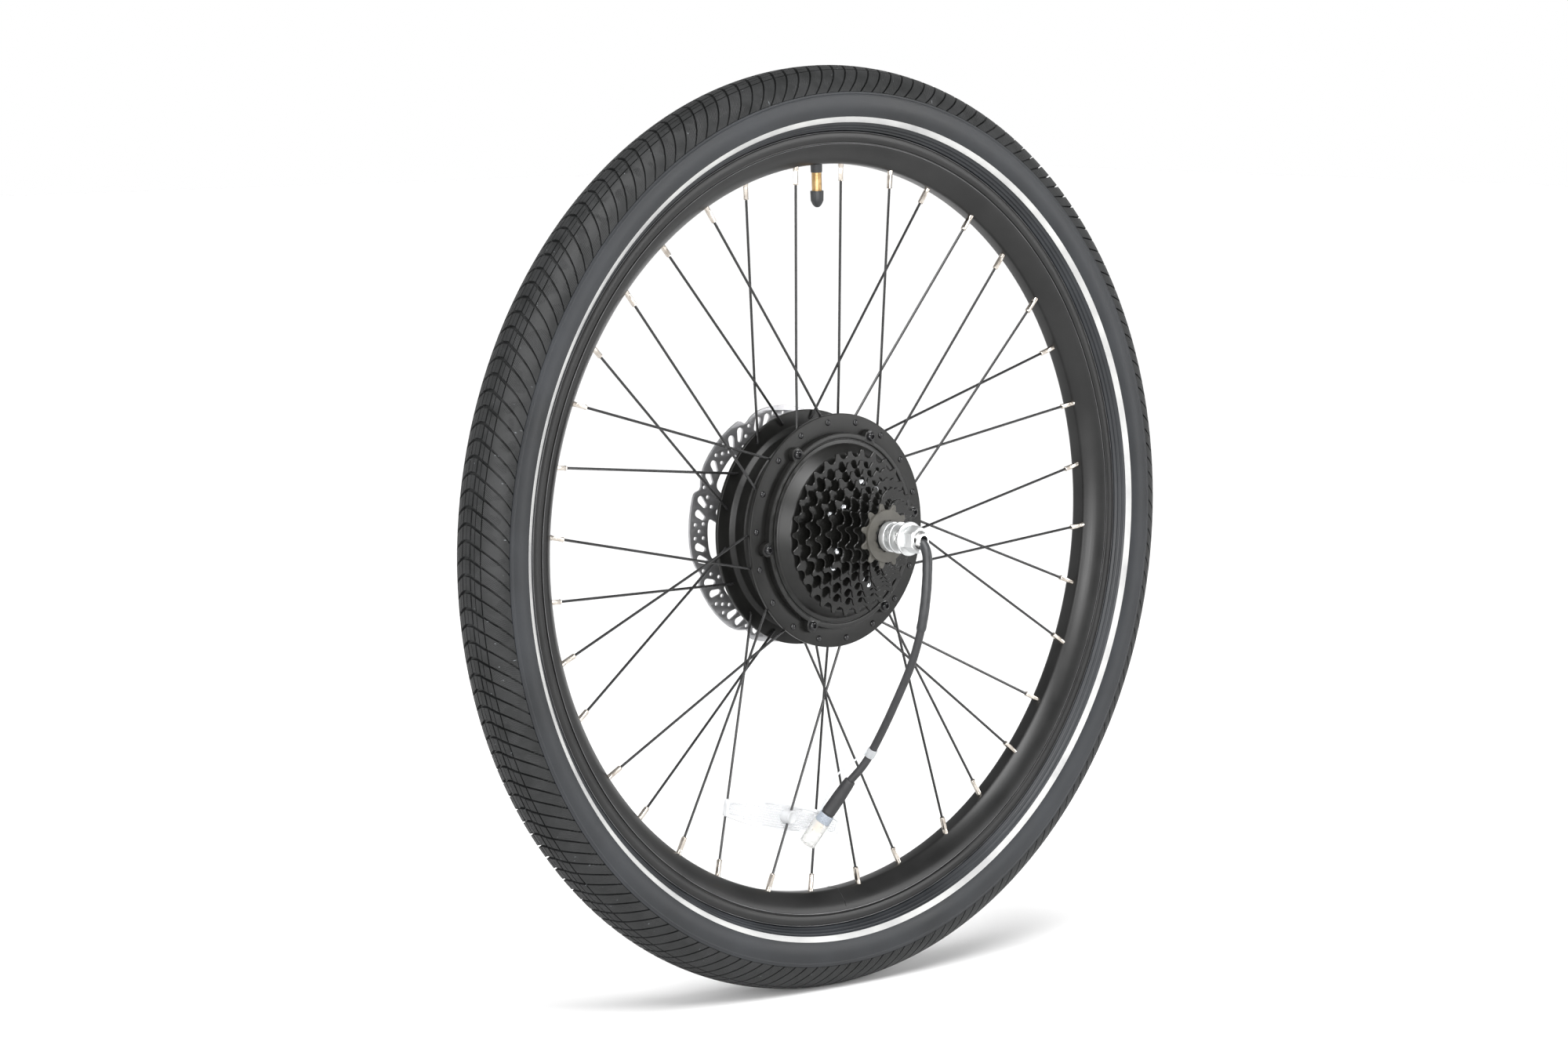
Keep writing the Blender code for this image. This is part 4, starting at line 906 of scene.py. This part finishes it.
def make_socket_screw(name, seat, out, radius, height):
    """A button head with a hexagon socket and a washer face."""
    profile = ((0.0, 1.12), (0.16, 1.12), (0.18, 1.0), (0.45, 1.0), (0.74, 0.90), (0.94, 0.70), (1.0, 0.52),
               (0.98, 0.46), (0.30, 0.44), (0.28, 0.05))
    stations = [(height * up, radius * across) for up, across in profile]
    screw = lathe(name, seat, out, stations, 36, shaped_at((7, 8, 9), hexagon))
    dress(screw, "head", "wheel")


# ---------------------------------------------------------------- brake disc
def slot_outline(radius, angle_deg, length, width, lean_deg):
    """A long hole whose outer end leans back round the disc, wider at its outer end."""
    middle = polar(radius, angle_deg)
    direction = math.radians(angle_deg + lean_deg)
    along = np.array([math.cos(direction), math.sin(direction)])
    across = np.array([-along[1], along[0]])
    centre = np.array([middle.x, middle.z])
    points = []
    for end, half in ((1, width * 0.56), (-1, width * 0.40)):
        tip = centre + end * along * (length / 2 - half)
        for step in range(7):
            angle = math.pi * step / 6 - math.pi / 2
            points.append(tip + end * along * half * math.cos(angle) + end * across * half * math.sin(angle))
    return points


def disc_window(start, corners):
    points = [polar(radius, start + offset) for radius, offset in corners]
    return eased([(p.x, p.z) for p in points], 0.0045, 4)


def make_brake_disc():
    """Stepped edge, swept arms, and the track's repeated round and long holes."""
    pitch = 360.0 / ROTOR_ARMS
    edge = []
    holes = [circle(0.0182, 48)]
    for index in range(ROTOR_ARMS):
        start = ROTOR_FIRST_NOTCH_DEG + pitch * index
        edge += [polar(ROTOR_RADIUS - depth, start + offset) for offset, depth in ROTOR_EDGE]
        for radius, offset in ((0.0820, -1.7), (0.0762, 2.5), (0.0704, 7.3), (0.0845, 18.3), (0.0765, 17.8),
                               (0.0804, 21.8), (0.0846, 25.3), (0.0764, 25.8)):
            middle = polar(radius, start + offset)
            holes.append(circle(0.00145, 14, (middle.x, middle.z)))
        for offset, lean in ((6.1, -32.0), (13.2, -26.0), (30.8, -30.0), (37.5, -34.0)):
            holes.append(slot_outline(0.0802, start + offset, 0.0112, 0.0052, lean))
        holes.append(disc_window(start, ((0.0716, 14.0), (0.0722, 22.0), (0.0722, 32.0), (0.0716, 40.0),
                                         (0.0520, 46.0), (0.0330, 54.0), (0.0330, 40.0), (0.0520, 23.0))))
        holes.append(disc_window(start, ((0.0655, 7.5), (0.0640, 13.0), (0.0500, 14.5), (0.0520, 9.0))))
    outlines = [[(p.x, p.z) for p in edge]] + holes
    back, front = ROTOR_Y + ROTOR_HALF_THICKNESS, ROTOR_Y - ROTOR_HALF_THICKNESS
    item = plate("disc_rotor", outlines, front, back, 0.00022)
    dress(item, "disc", "wheel", ("brake_rotor",))
    for index in range(6):
        seat = polar(0.0220, 30.0 + 60.0 * index, back)
        make_socket_screw(f"disc_screw_{index + 1}", seat, (0, 1, 0), 0.0042, 0.0028)


# ---------------------------------------------------------------- cassette
def sprocket_outline(teeth, turn_deg):
    """Round roller seats, leaning flanks and blunt tips; every fifth tooth is cut low for shifting."""
    pitch_radius = CHAIN_PITCH / (2 * math.sin(math.pi / teeth))
    seat = 0.0040
    step_deg = 360.0 / teeth
    points = []
    for tooth in range(teeth):
        angle = math.radians(turn_deg + step_deg * tooth)
        out = np.array([math.cos(angle), math.sin(angle)])
        side = np.array([-out[1], out[0]])
        centre = pitch_radius * out
        for step in range(-5, 6):
            swing = math.radians(15.5 * step)
            points.append(centre - seat * math.cos(swing) * out + seat * math.sin(swing) * side)
        tip_angle = angle + math.radians(step_deg / 2)
        tip_out = np.array([math.cos(tip_angle), math.sin(tip_angle)])
        tip_side = np.array([-tip_out[1], tip_out[0]])
        low_tooth = teeth > 13 and tooth % 5 == 2
        height = 0.0007 if low_tooth else 0.0017
        half_tip = 0.0015 if low_tooth else 0.00115
        for share, drop in TIP_SHAPE:
            points.append((pitch_radius + height - drop) * tip_out + share * half_tip * tip_side)
    return np.array(points)


def outline_normals(outline):
    """Outward unit normals of a closed outline that runs anticlockwise."""
    along = np.roll(outline, -1, axis=0) - np.roll(outline, 1, axis=0)
    out = np.stack([along[:, 1], -along[:, 0]], axis=1)
    return out / np.linalg.norm(out, axis=1)[:, None]


def toothed_disc(name, outline, bore_radius, y_low, y_high, chamfer):
    """A flat ring with any star-shaped edge, whose edge is chamfered on both faces."""
    inset = outline - outline_normals(outline) * chamfer
    directions = outline / np.linalg.norm(outline, axis=1)[:, None]
    bore = directions * bore_radius
    middle = directions * min(np.linalg.norm(inset, axis=1).min() - 0.0006, bore_radius + 0.004)
    layers = [(bore, y_low), (middle, y_low), (inset, y_low), (outline, y_low + chamfer),
              (outline, y_high - chamfer), (inset, y_high), (middle, y_high), (bore, y_high)]
    return surface(name, [np.insert(ring, 1, y, axis=1) for ring, y in layers])


def splined_bore(radius, notches, depth):
    points = []
    for notch in range(notches):
        start = 360.0 * notch / notches
        for offset, out in ((0.0, 0.0), (0.30, 0.0), (0.36, depth), (0.62, depth), (0.68, 0.0)):
            place = polar(radius + out, start + offset * 360.0 / notches)
            points.append((place.x, place.z))
    return points


def make_cassette():
    """Eight sprockets on the freehub, with spacers, rivets and the lockring."""
    for index, teeth in enumerate(SPROCKET_TEETH):
        node = f"sprocket_{teeth}t"
        y_low, y_high = low(node).y, high(node).y
        y_high = min(y_high, y_low + SPROCKET_THICKNESS)
        smallest = index == len(SPROCKET_TEETH) - 1
        look, slot = ("small_sprocket", "smallest_sprocket") if smallest else ("sprocket", "sprocket")
        outline = sprocket_outline(teeth, 4.0 + 6.5 * index)
        disc = toothed_disc(f"cog_{teeth}t", outline, SPROCKET_BORE_RADIUS, y_low, y_high, 0.00035)
        dress(disc, look, "cassette", (node,), smooth_deg=24.0)
        if index == 0:
            continue
        gap_low, gap_high = y_high + 0.0001, y_high + 0.0029
        spacer_radius = max(0.0195, CHAIN_PITCH / (2 * math.sin(math.pi / teeth)) - 0.0085)
        waist = (spacer_radius - 0.0006, (gap_low + gap_high) / 2)
        inner = SPROCKET_BORE_RADIUS + 0.0001
        profile = [(inner, gap_low), (spacer_radius, gap_low), waist, (spacer_radius, gap_high),
                   (inner, gap_high)]
        spacer = turned(f"spacer_{index}", eased(profile, 0.0003, 2), steps=96)
        dress(spacer, "sprocket", "cassette")
    for number, (teeth, radius, angle) in enumerate(RIVETS):
        seat = polar(radius, angle, low(f"sprocket_{teeth}t").y)
        rivet = lathe(f"rivet_{number + 1}", seat, (0, -1, 0), RIVET_STATIONS, 20)
        dress(rivet, "rivet", "cassette")
    make_lockring()


def make_lockring():
    """The flat ring on the smallest sprocket, with the splined mouth for its tool."""
    face = low("sprocket_11t").y
    outlines = [circle(0.0196, 96), splined_bore(0.0112, 12, 0.0009)]
    item = plate("lockring_flange", outlines, face - 0.0022, face - 0.0003, 0.00025)
    dress(item, "small_sprocket", "cassette", ("cassette_lockring",))
    near, far = face - 0.0005, face + 0.0080
    throat = eased([(0.0120, near), (0.0150, near), (0.0150, far), (0.0120, far)], 0.0003, 2)
    dress(turned("lockring_throat", throat, steps=96), "dark_steel", "cassette")


# ---------------------------------------------------------------- axle hardware
def ring_profile(inner, outer, y_low, y_high):
    return eased([(inner, y_low), (outer, y_low), (outer, y_high), (inner, y_high)], 0.0006, 3)


def make_nut(name, back, front, node):
    """Flanged hexagon nut with chamfered corners and a countersunk thread."""
    out = 1.0 if front > back else -1.0
    long = abs(front - back)
    stations = [(0.0, 0.0062), (0.0, 0.0121), (0.0004, 0.0127), (0.0016, 0.0127), (0.0022, 0.0122),
                (0.0025, 0.0112), (0.0027, 0.0104), (long - 0.0016, 0.0104), (long - 0.0006, 0.0098),
                (long, 0.0090), (long, 0.0070), (long - 0.0008, 0.0061), (long - 0.0062, 0.0061),
                (long - 0.0062, 0.0060)]
    corners = {6: 1.0, 7: 1.0, 8: 1.04, 9: 1.09}
    angles = full_turn(96)
    flats = math.cos(math.pi / 6) * hexagon(angles)
    rings = []
    for number, (along, radius) in enumerate(stations):
        scale = np.minimum(flats * corners[number], 1.0) if number in corners else np.ones(len(angles))
        rings.append(axle_ring(scale * radius, back + out * along, angles))
    dress(surface(name, rings), "zinc", "axle_unit", (node,), smooth_deg=26.0)


def make_axle():
    """Threaded axle with its two long flats; the thread is a true helix."""
    angles = full_turn(96)
    spans = (("axle_drive_thread", AXLE_ENDS[0], AXLE_BODY_ENDS[0]),
             ("axle_brake_thread", AXLE_BODY_ENDS[1], AXLE_ENDS[1]))
    for name, start, end in spans:
        rings = []
        for y in np.linspace(start, end, int((end - start) / THREAD_PITCH * 8)):
            phase = (y / THREAD_PITCH - angles / (2 * math.pi)) % 1.0
            radius = 0.00515 + 0.00075 * np.clip(np.abs(phase - 0.5) * 2.6 - 0.15, 0.0, 1.0)
            from_end = min(y - AXLE_ENDS[0], AXLE_ENDS[1] - y)
            ring = axle_ring(np.minimum(radius, AXLE_FLAT + max(0.0, from_end)), y, angles)
            ring[:, 0] = np.clip(ring[:, 0], -AXLE_FLAT, AXLE_FLAT)
            rings.append(ring)
        item = surface(name, rings, flat_ends=True)
        drive_end = start == AXLE_ENDS[0]
        if drive_end:
            cut_cable_slot(item)
        dress(item, "axle", "axle_unit", ("axle",) if drive_end else (), smooth_deg=24.0)
    near, far = AXLE_BODY_ENDS
    body = [(0.0, near), (0.0070, near), (0.0070, -0.0010), (0.0105, -0.0010), (0.0105, 0.0365),
            (0.0070, 0.0365), (0.0070, far), (0.0, far)]
    dress(turned("axle_body", body, steps=64), "axle", "axle_unit")


def cut_cable_slot(item):
    """Opens the slot and bore that the motor cable leaves the axle's end by."""
    start = AXLE_ENDS[0] - 0.001
    bore = lathe("slot_tool", (0.0, start, 0.0), (0, 1, 0), [(0.0, 0.0036), (0.0300, 0.0036)], 40)
    slot = [(x, start + y, z) for x in (-0.0035, 0.0035) for y in (0.0, 0.0120) for z in (-0.0100, 0.0)]
    faces = [(0, 1, 3, 2), (4, 5, 7, 6), (0, 1, 5, 4), (2, 3, 7, 6), (0, 2, 6, 4), (1, 3, 7, 5)]
    tools = [bore, add_mesh("slot_box", slot, faces)]
    for tool in tools:
        step = item.modifiers.new("cut", "BOOLEAN")
        step.operation = "DIFFERENCE"
        step.solver = "EXACT"
        step.object = tool
    mesh = worked_mesh(item)
    item.modifiers.clear()
    item.data = mesh
    for tool in tools:
        bpy.data.objects.remove(tool, do_unlink=True)


def make_axle_hardware():
    """Locknuts, washers and nuts of both sides, and the axle."""
    for name, span, outer, node in (
            ("locknut_drive_side", LOCKNUT_DRIVE, 0.0113, "drive_locknut"),
            ("locknut_brake_side", LOCKNUT_BRAKE, 0.0113, "brake_locknut"),
            ("washer_drive_side", WASHER_DRIVE, 0.0118, "drive_washer"),
            ("washer_brake_side", WASHER_BRAKE, 0.0118, "brake_washer")):
        item = turned(name, ring_profile(0.0062, outer, *span), steps=96)
        dress(item, "zinc", "axle_unit", (node,))
    make_nut("nut_drive_side", *NUT_DRIVE, "drive_axle_nut")
    make_nut("nut_brake_side", *NUT_BRAKE, "brake_axle_nut")
    make_axle()


# ---------------------------------------------------------------- cable, connector and cap
def make_cable():
    """The motor cable, its shrink sleeve, the moulded connector and the capped plug."""
    line = smooth_line(CABLE_ROUTE, 8)
    curve = line_curve("cable_jacket", "3D", [line], closed=False)
    curve.bevel_depth = CABLE_DIAMETER / 2
    curve.bevel_resolution = 6
    curve.use_fill_caps = True
    cable = put("cable_jacket", curve)
    curve.splines[0].use_smooth = True
    dress(cable, "jacket", "axle_unit", ("motor_cable",))

    sleeve_line = line[(line[:, 2] > -0.0680) & (line[:, 1] < -0.1040)]
    along = lengths_along(sleeve_line)
    radii = SLEEVE_RADIUS + 0.00004 * np.sin(along * 900.0) + 0.00005 * np.sin(along * 370.0 + 1.0)
    radii[[0, 1, -1]] = (0.0031, 0.0035, 0.0032)
    sleeve = tube("shrink_sleeve", sleeve_line, radii, 24)
    dress(sleeve, "sleeve", "axle_unit")

    start = Vector(CABLE_ROUTE[-1])
    axis = (CAP_END - start).normalized()
    long = (CONNECTOR_END - start).length
    moulding = [(-0.0006, 0.0031), (-0.0004, 0.0040), (0.0002, 0.0043), (0.0020, 0.0044), (0.0032, 0.0046),
                (0.0150, 0.0051), (long * 0.80, 0.0052), (long - 0.0006, 0.0052), (long, 0.0048),
                (long + 0.0040, 0.0047), (long + 0.0046, 0.0044)]
    plug = lathe("connector_moulding", start, axis, moulding, 48, shaped_at((5, 6), grip_flats))
    dress(plug, "overmould", "axle_unit", ("cable_connector",))
    carrier_foot = CONNECTOR_END + axis * 0.0046
    carrier_stations = [(0.0, 0.0038), (0.0040, 0.0038), (0.0044, 0.0034)]
    carrier = lathe("contact_carrier", carrier_foot, axis, carrier_stations, 28)
    dress(carrier, "nylon", "axle_unit")
    pins = []
    turn = axis.to_track_quat("Z", "Y").to_matrix()
    for x, y in circle(PIN_CIRCLE_RADIUS, 6):
        foot = CONNECTOR_END + axis * 0.0088 + turn @ Vector((x, y, 0.0))
        pins.append(lathe("pin", foot, axis, [(0.0, 0.0007), (0.0080, 0.0007), (0.0086, 0.0004)], 10))
    contacts = joined("plug_contacts", pins)
    dress(contacts, "contact", "axle_unit")
    collar, strap = make_tether(axis)
    ring, cap = make_cap(axis)


def grip_flats(angles):
    """Shallow grip flats on two sides of the moulding's thick end."""
    return 1.0 - 0.030 * (np.cos(2 * angles) > 0.82)


def make_cap(axis):
    """The milky ring at the cap's mouth and the clear cup beyond it."""
    mouth = CONNECTOR_END + axis * 0.0010
    long = (CAP_END - mouth).length
    band = [(0.0, 0.0049), (0.0, 0.0055), (0.0004, 0.0058), (0.0030, 0.0058), (0.0068, 0.0060),
            (0.0072, 0.0058), (0.0072, 0.0049)]
    ring = lathe("cap_mouth_ring", mouth, axis, band, 48, flat_ends=False)
    dress(ring, "cap_ring", "connector_cap", ("connector_cap",))
    wall = [(0.0073, 0.0052), (0.0073, 0.0060), (0.0080, 0.0062), (long - 0.0012, 0.0063),
            (long - 0.0003, 0.0060), (long, 0.0053), (long, 0.0001), (long - 0.0014, 0.0001),
            (long - 0.0014, 0.0048), (long - 0.0022, 0.0053)]
    cup = lathe("cap_clear_cup", mouth, axis, wall, 48, flat_ends=False)
    dress(cup, "cap", "connector_cap")
    return ring, cup


def make_tether(axis):
    """The collar that grips the cable and the soft strap down to the cap."""
    before, middle, after = [Vector(CABLE_ROUTE[TETHER_STATION + step]) for step in (-1, 0, 1)]
    along = (after - before).normalized()
    band = [(-0.0034, 0.0030), (-0.0034, 0.0036), (-0.0031, 0.0038), (-0.0018, 0.0038), (-0.0015, 0.0036),
            (-0.0012, 0.0038), (0.0002, 0.0038), (0.0005, 0.0036), (0.0008, 0.0038), (0.0020, 0.0038),
            (0.0023, 0.0036), (0.0026, 0.0038), (0.0031, 0.0038), (0.0034, 0.0036), (0.0034, 0.0030)]
    collar = lathe("tether_collar", middle, along, band, 48, flat_ends=False)
    dress(collar, "strap", "axle_unit", ("cap_tether",))
    away = Vector((-0.75, 0.45, 0.25))
    away = (away - away.dot(axis) * axis).normalized()
    cap_top = CONNECTOR_END + axis * 0.0042
    bulge = ((0.0, 0.0036), (0.12, 0.0058), (0.30, 0.0094), (0.46, 0.0116), (0.64, 0.0104), (0.82, 0.0074),
             (1.0, 0.0056))
    route = [middle.lerp(cap_top, share) + away * reach for share, reach in bulge]
    strap_line = smooth_line(route, 8)
    strap = tube("tether_strap", strap_line, [0.0008] * len(strap_line), 14)
    strap.data.materials.append(LOOKS["strap"])
    strap.data.shade_smooth()
    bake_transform(strap)
    return collar, strap


# ---------------------------------------------------------------- reflector
def make_reflector():
    """Clear boat-shaped reflector: a raised border, a field of small prisms, and its round clip."""
    long_axis = REFLECTOR_RIGHT - REFLECTOR_LEFT
    half = long_axis.length / 2
    middle = (REFLECTOR_LEFT + REFLECTOR_RIGHT) / 2
    unit = long_axis.normalized()
    across = Vector((-long_axis.z, 0.0, long_axis.x)).normalized()

    def edge(inset, steps=20):
        points = []
        for sign in (1, -1):
            for step in range(steps + 1):
                t = -1.0 + 2.0 * step / steps
                rise = (REFLECTOR_HALF_HEIGHT - REFLECTOR_END_HALF_HEIGHT) * (1 - t * t)
                bulge = REFLECTOR_END_HALF_HEIGHT + rise - inset
                point = middle + unit * (sign * -t * (half * 0.985 - inset)) + across * (sign * bulge)
                points.append((point.x, point.z))
        return points

    outlines = [eased(edge(0.0), 0.0016, 3), eased(edge(0.0022), 0.0012, 3)]
    border = plate("reflector_border", outlines, -0.0024, 0.0024, 0.0005)
    dress(border, "reflector", "wheel", ("spoke_reflector",))
    sheet = plate("reflector_sheet", [eased(edge(0.0020), 0.0012, 3)], -0.0009, 0.0009, 0.0002)
    dress(sheet, "reflector", "wheel")
    make_prisms(middle, unit, across, half)
    make_clip()


def make_prisms(middle, unit, across, half):
    """Six-sided studs in staggered rows on both faces, with a plain line across near the left end."""
    studs, vertices, faces = [], [], []
    pitch = 0.0021
    row_step = pitch * 0.866
    rows = int(REFLECTOR_HALF_HEIGHT / row_step) + 1
    columns = int(half / pitch) + 1
    for row in range(-rows, rows + 1):
        for column in range(-columns, columns + 1):
            along = (column + 0.5 * (row % 2)) * pitch
            share = along / half
            rise = (REFLECTOR_HALF_HEIGHT - REFLECTOR_END_HALF_HEIGHT) * (1 - share ** 2)
            reach = REFLECTOR_END_HALF_HEIGHT + rise
            if abs(row * row_step) > reach - 0.0036 or abs(along) > half - 0.0050:
                continue
            if abs(along + half * 0.62) < 0.0010:
                continue
            studs.append(middle + unit * along + across * (row * row_step))
    for centre in studs:
        for side in (-1, 1):
            base = len(vertices)
            for corner in range(6):
                angle = math.radians(60.0 * corner + 30.0)
                place = centre + (unit * math.cos(angle) + across * math.sin(angle)) * pitch * 0.50
                vertices.append((place.x, side * 0.00088, place.z))
            vertices.append((centre.x, side * 0.00175, centre.z))
            faces += [[base + corner, base + (corner + 1) % 6, base + 6] for corner in range(6)]
            faces.append([base + corner for corner in range(6)])
    item = add_mesh("reflector_prisms", vertices, faces)
    dress(item, "reflector", "wheel", smooth_deg=10.0)


def make_clip():
    """The button that snaps over the middle spoke."""
    nipple = polar(NIPPLE_OUTER_END, GRIPPED_SPOKE_DEG, NIPPLE_Y[-1])
    hole = polar(SPOKE_CIRCLE_RADIUS, GRIPPED_SPOKE_DEG + LACING_OFFSET_DEG, DRIVE_FLANGE_Y + 0.0045)
    share = (CLIP_CENTRE_RADIUS - 0.0790) / (NIPPLE_OUTER_END - 0.0790)
    grip = hole.lerp(nipple, share)
    grip.y = 0.0
    profile = ((-0.0005, 0.9), (0.0012, 1.0), (0.0078, 1.0), (0.0086, 0.93), (0.0089, 0.80), (0.0084, 0.55),
               (0.0083, 0.0))
    stations = [(along, CLIP_RADIUS * share) for along, share in profile]
    button = lathe("reflector_clip", grip, (0, -1, 0), stations, 40)
    dress(button, "reflector", "wheel")


# ---------------------------------------------------------------- pieces that stay as the frame has them
KEPT = {
    "inner_tube": "tube", "ring_gear": "dark_steel", "drive_side_bearing": "axle",
    "brake_side_bearing": "axle", "stator_core": "lamination", "stator_winding": "copper",
    "planet_carrier": "axle", "rotor_bell": "axle", "magnet_ring": "magnet", "sun_gear": "dark_steel",
    "planet_gear_1": "nylon", "planet_gear_2": "nylon", "planet_gear_3": "nylon",
    "freehub_body": "dark_steel",
}


def finish_kept_nodes():
    for node, look in KEPT.items():
        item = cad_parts[node]
        item.data.materials.clear()
        item.data.materials.append(LOOKS[look])


# ---------------------------------------------------------------- floor, light and camera
def plain_material(name, colour, roughness):
    made = bpy.data.materials.new(name)
    made.use_nodes = True
    shader = made.node_tree.nodes["Principled BSDF"]
    shader.inputs["Base Color"].default_value = (*colour, 1.0)
    shader.inputs["Roughness"].default_value = roughness
    return made


def add_softbox(name, place, size, power):
    """A rectangular light that faces the wheel's centre."""
    light = bpy.data.lights.new(name, "AREA")
    light.shape = "RECTANGLE"
    light.size, light.size_y = size
    light.energy = power
    item = put(name, light)
    item.location = place
    item.rotation_euler = (-Vector(place)).to_track_quat("-Z", "Y").to_euler()


def make_stage():
    """Pale floor, a white surround that fades overhead, a soft sun and four softboxes."""
    corners = [(x, y, -TYRE_RADIUS) for x, y in ((-12, -12), (12, -12), (12, 12), (-12, 12))]
    floor = add_mesh("floor", corners, [(0, 1, 2, 3)], turn_outwards=False)
    floor.data.materials.append(plain_material("pale_floor", (0.80, 0.80, 0.80), 1.0))
    world = bpy.data.worlds.new("studio")
    world.use_nodes = True
    background = world.node_tree.nodes["Background"]
    background.inputs["Color"].default_value = (1.0, 1.0, 1.0, 1.0)
    tree = world.node_tree
    direction = add_node(tree, "ShaderNodeTexCoord").outputs["Generated"]
    height = linked(tree, add_node(tree, "ShaderNodeSeparateXYZ"), Vector=direction).outputs["Z"]
    linked(tree, background, Strength=spread(tree, height, 1.0, 0.40, 0.22, 0.55))
    bpy.context.scene.world = world
    sun = bpy.data.lights.new("overhead", "SUN")
    sun.energy = 2.9
    sun.angle = math.radians(50.0)
    put("overhead", sun).rotation_euler = (math.radians(18.0), math.radians(-22.0), 0.0)
    add_softbox("left_softbox", (-2.7, -1.3, 0.6), (1.0, 1.8), 45.0)
    add_softbox("right_softbox", (2.3, -2.6, 0.6), (0.6, 1.6), 34.0)
    add_softbox("front_softbox", (-2.2, -3.5, 0.3), (1.4, 2.0), 135.0)
    add_softbox("top_softbox", (-0.7, -1.5, 2.3), (1.5, 1.5), 50.0)


def make_camera():
    camera = bpy.data.cameras.new("camera")
    camera.lens = 118.33
    camera.sensor_width = 36.0
    camera.clip_end = 60.0
    item = put("camera", camera)
    item.location = (-2.6336, -2.8021, 0.4150)
    target = Vector((-0.0413, 0.0, 0.0079))
    item.rotation_euler = (target - item.location).to_track_quat("-Z", "Y").to_euler()
    bpy.context.scene.camera = item
    bpy.context.scene.view_settings.view_transform = "Standard"


def main():
    make_camera()
    make_cable()
    section = tyre_section()
    make_casing(section)
    make_tread(section)
    make_stripes(section)
    make_rim()
    make_spokes()
    make_valve()
    make_hub_shell()
    make_side_cover()
    make_brake_disc()
    make_cassette()
    make_axle_hardware()
    make_reflector()
    finish_kept_nodes()
    make_stage()


main()
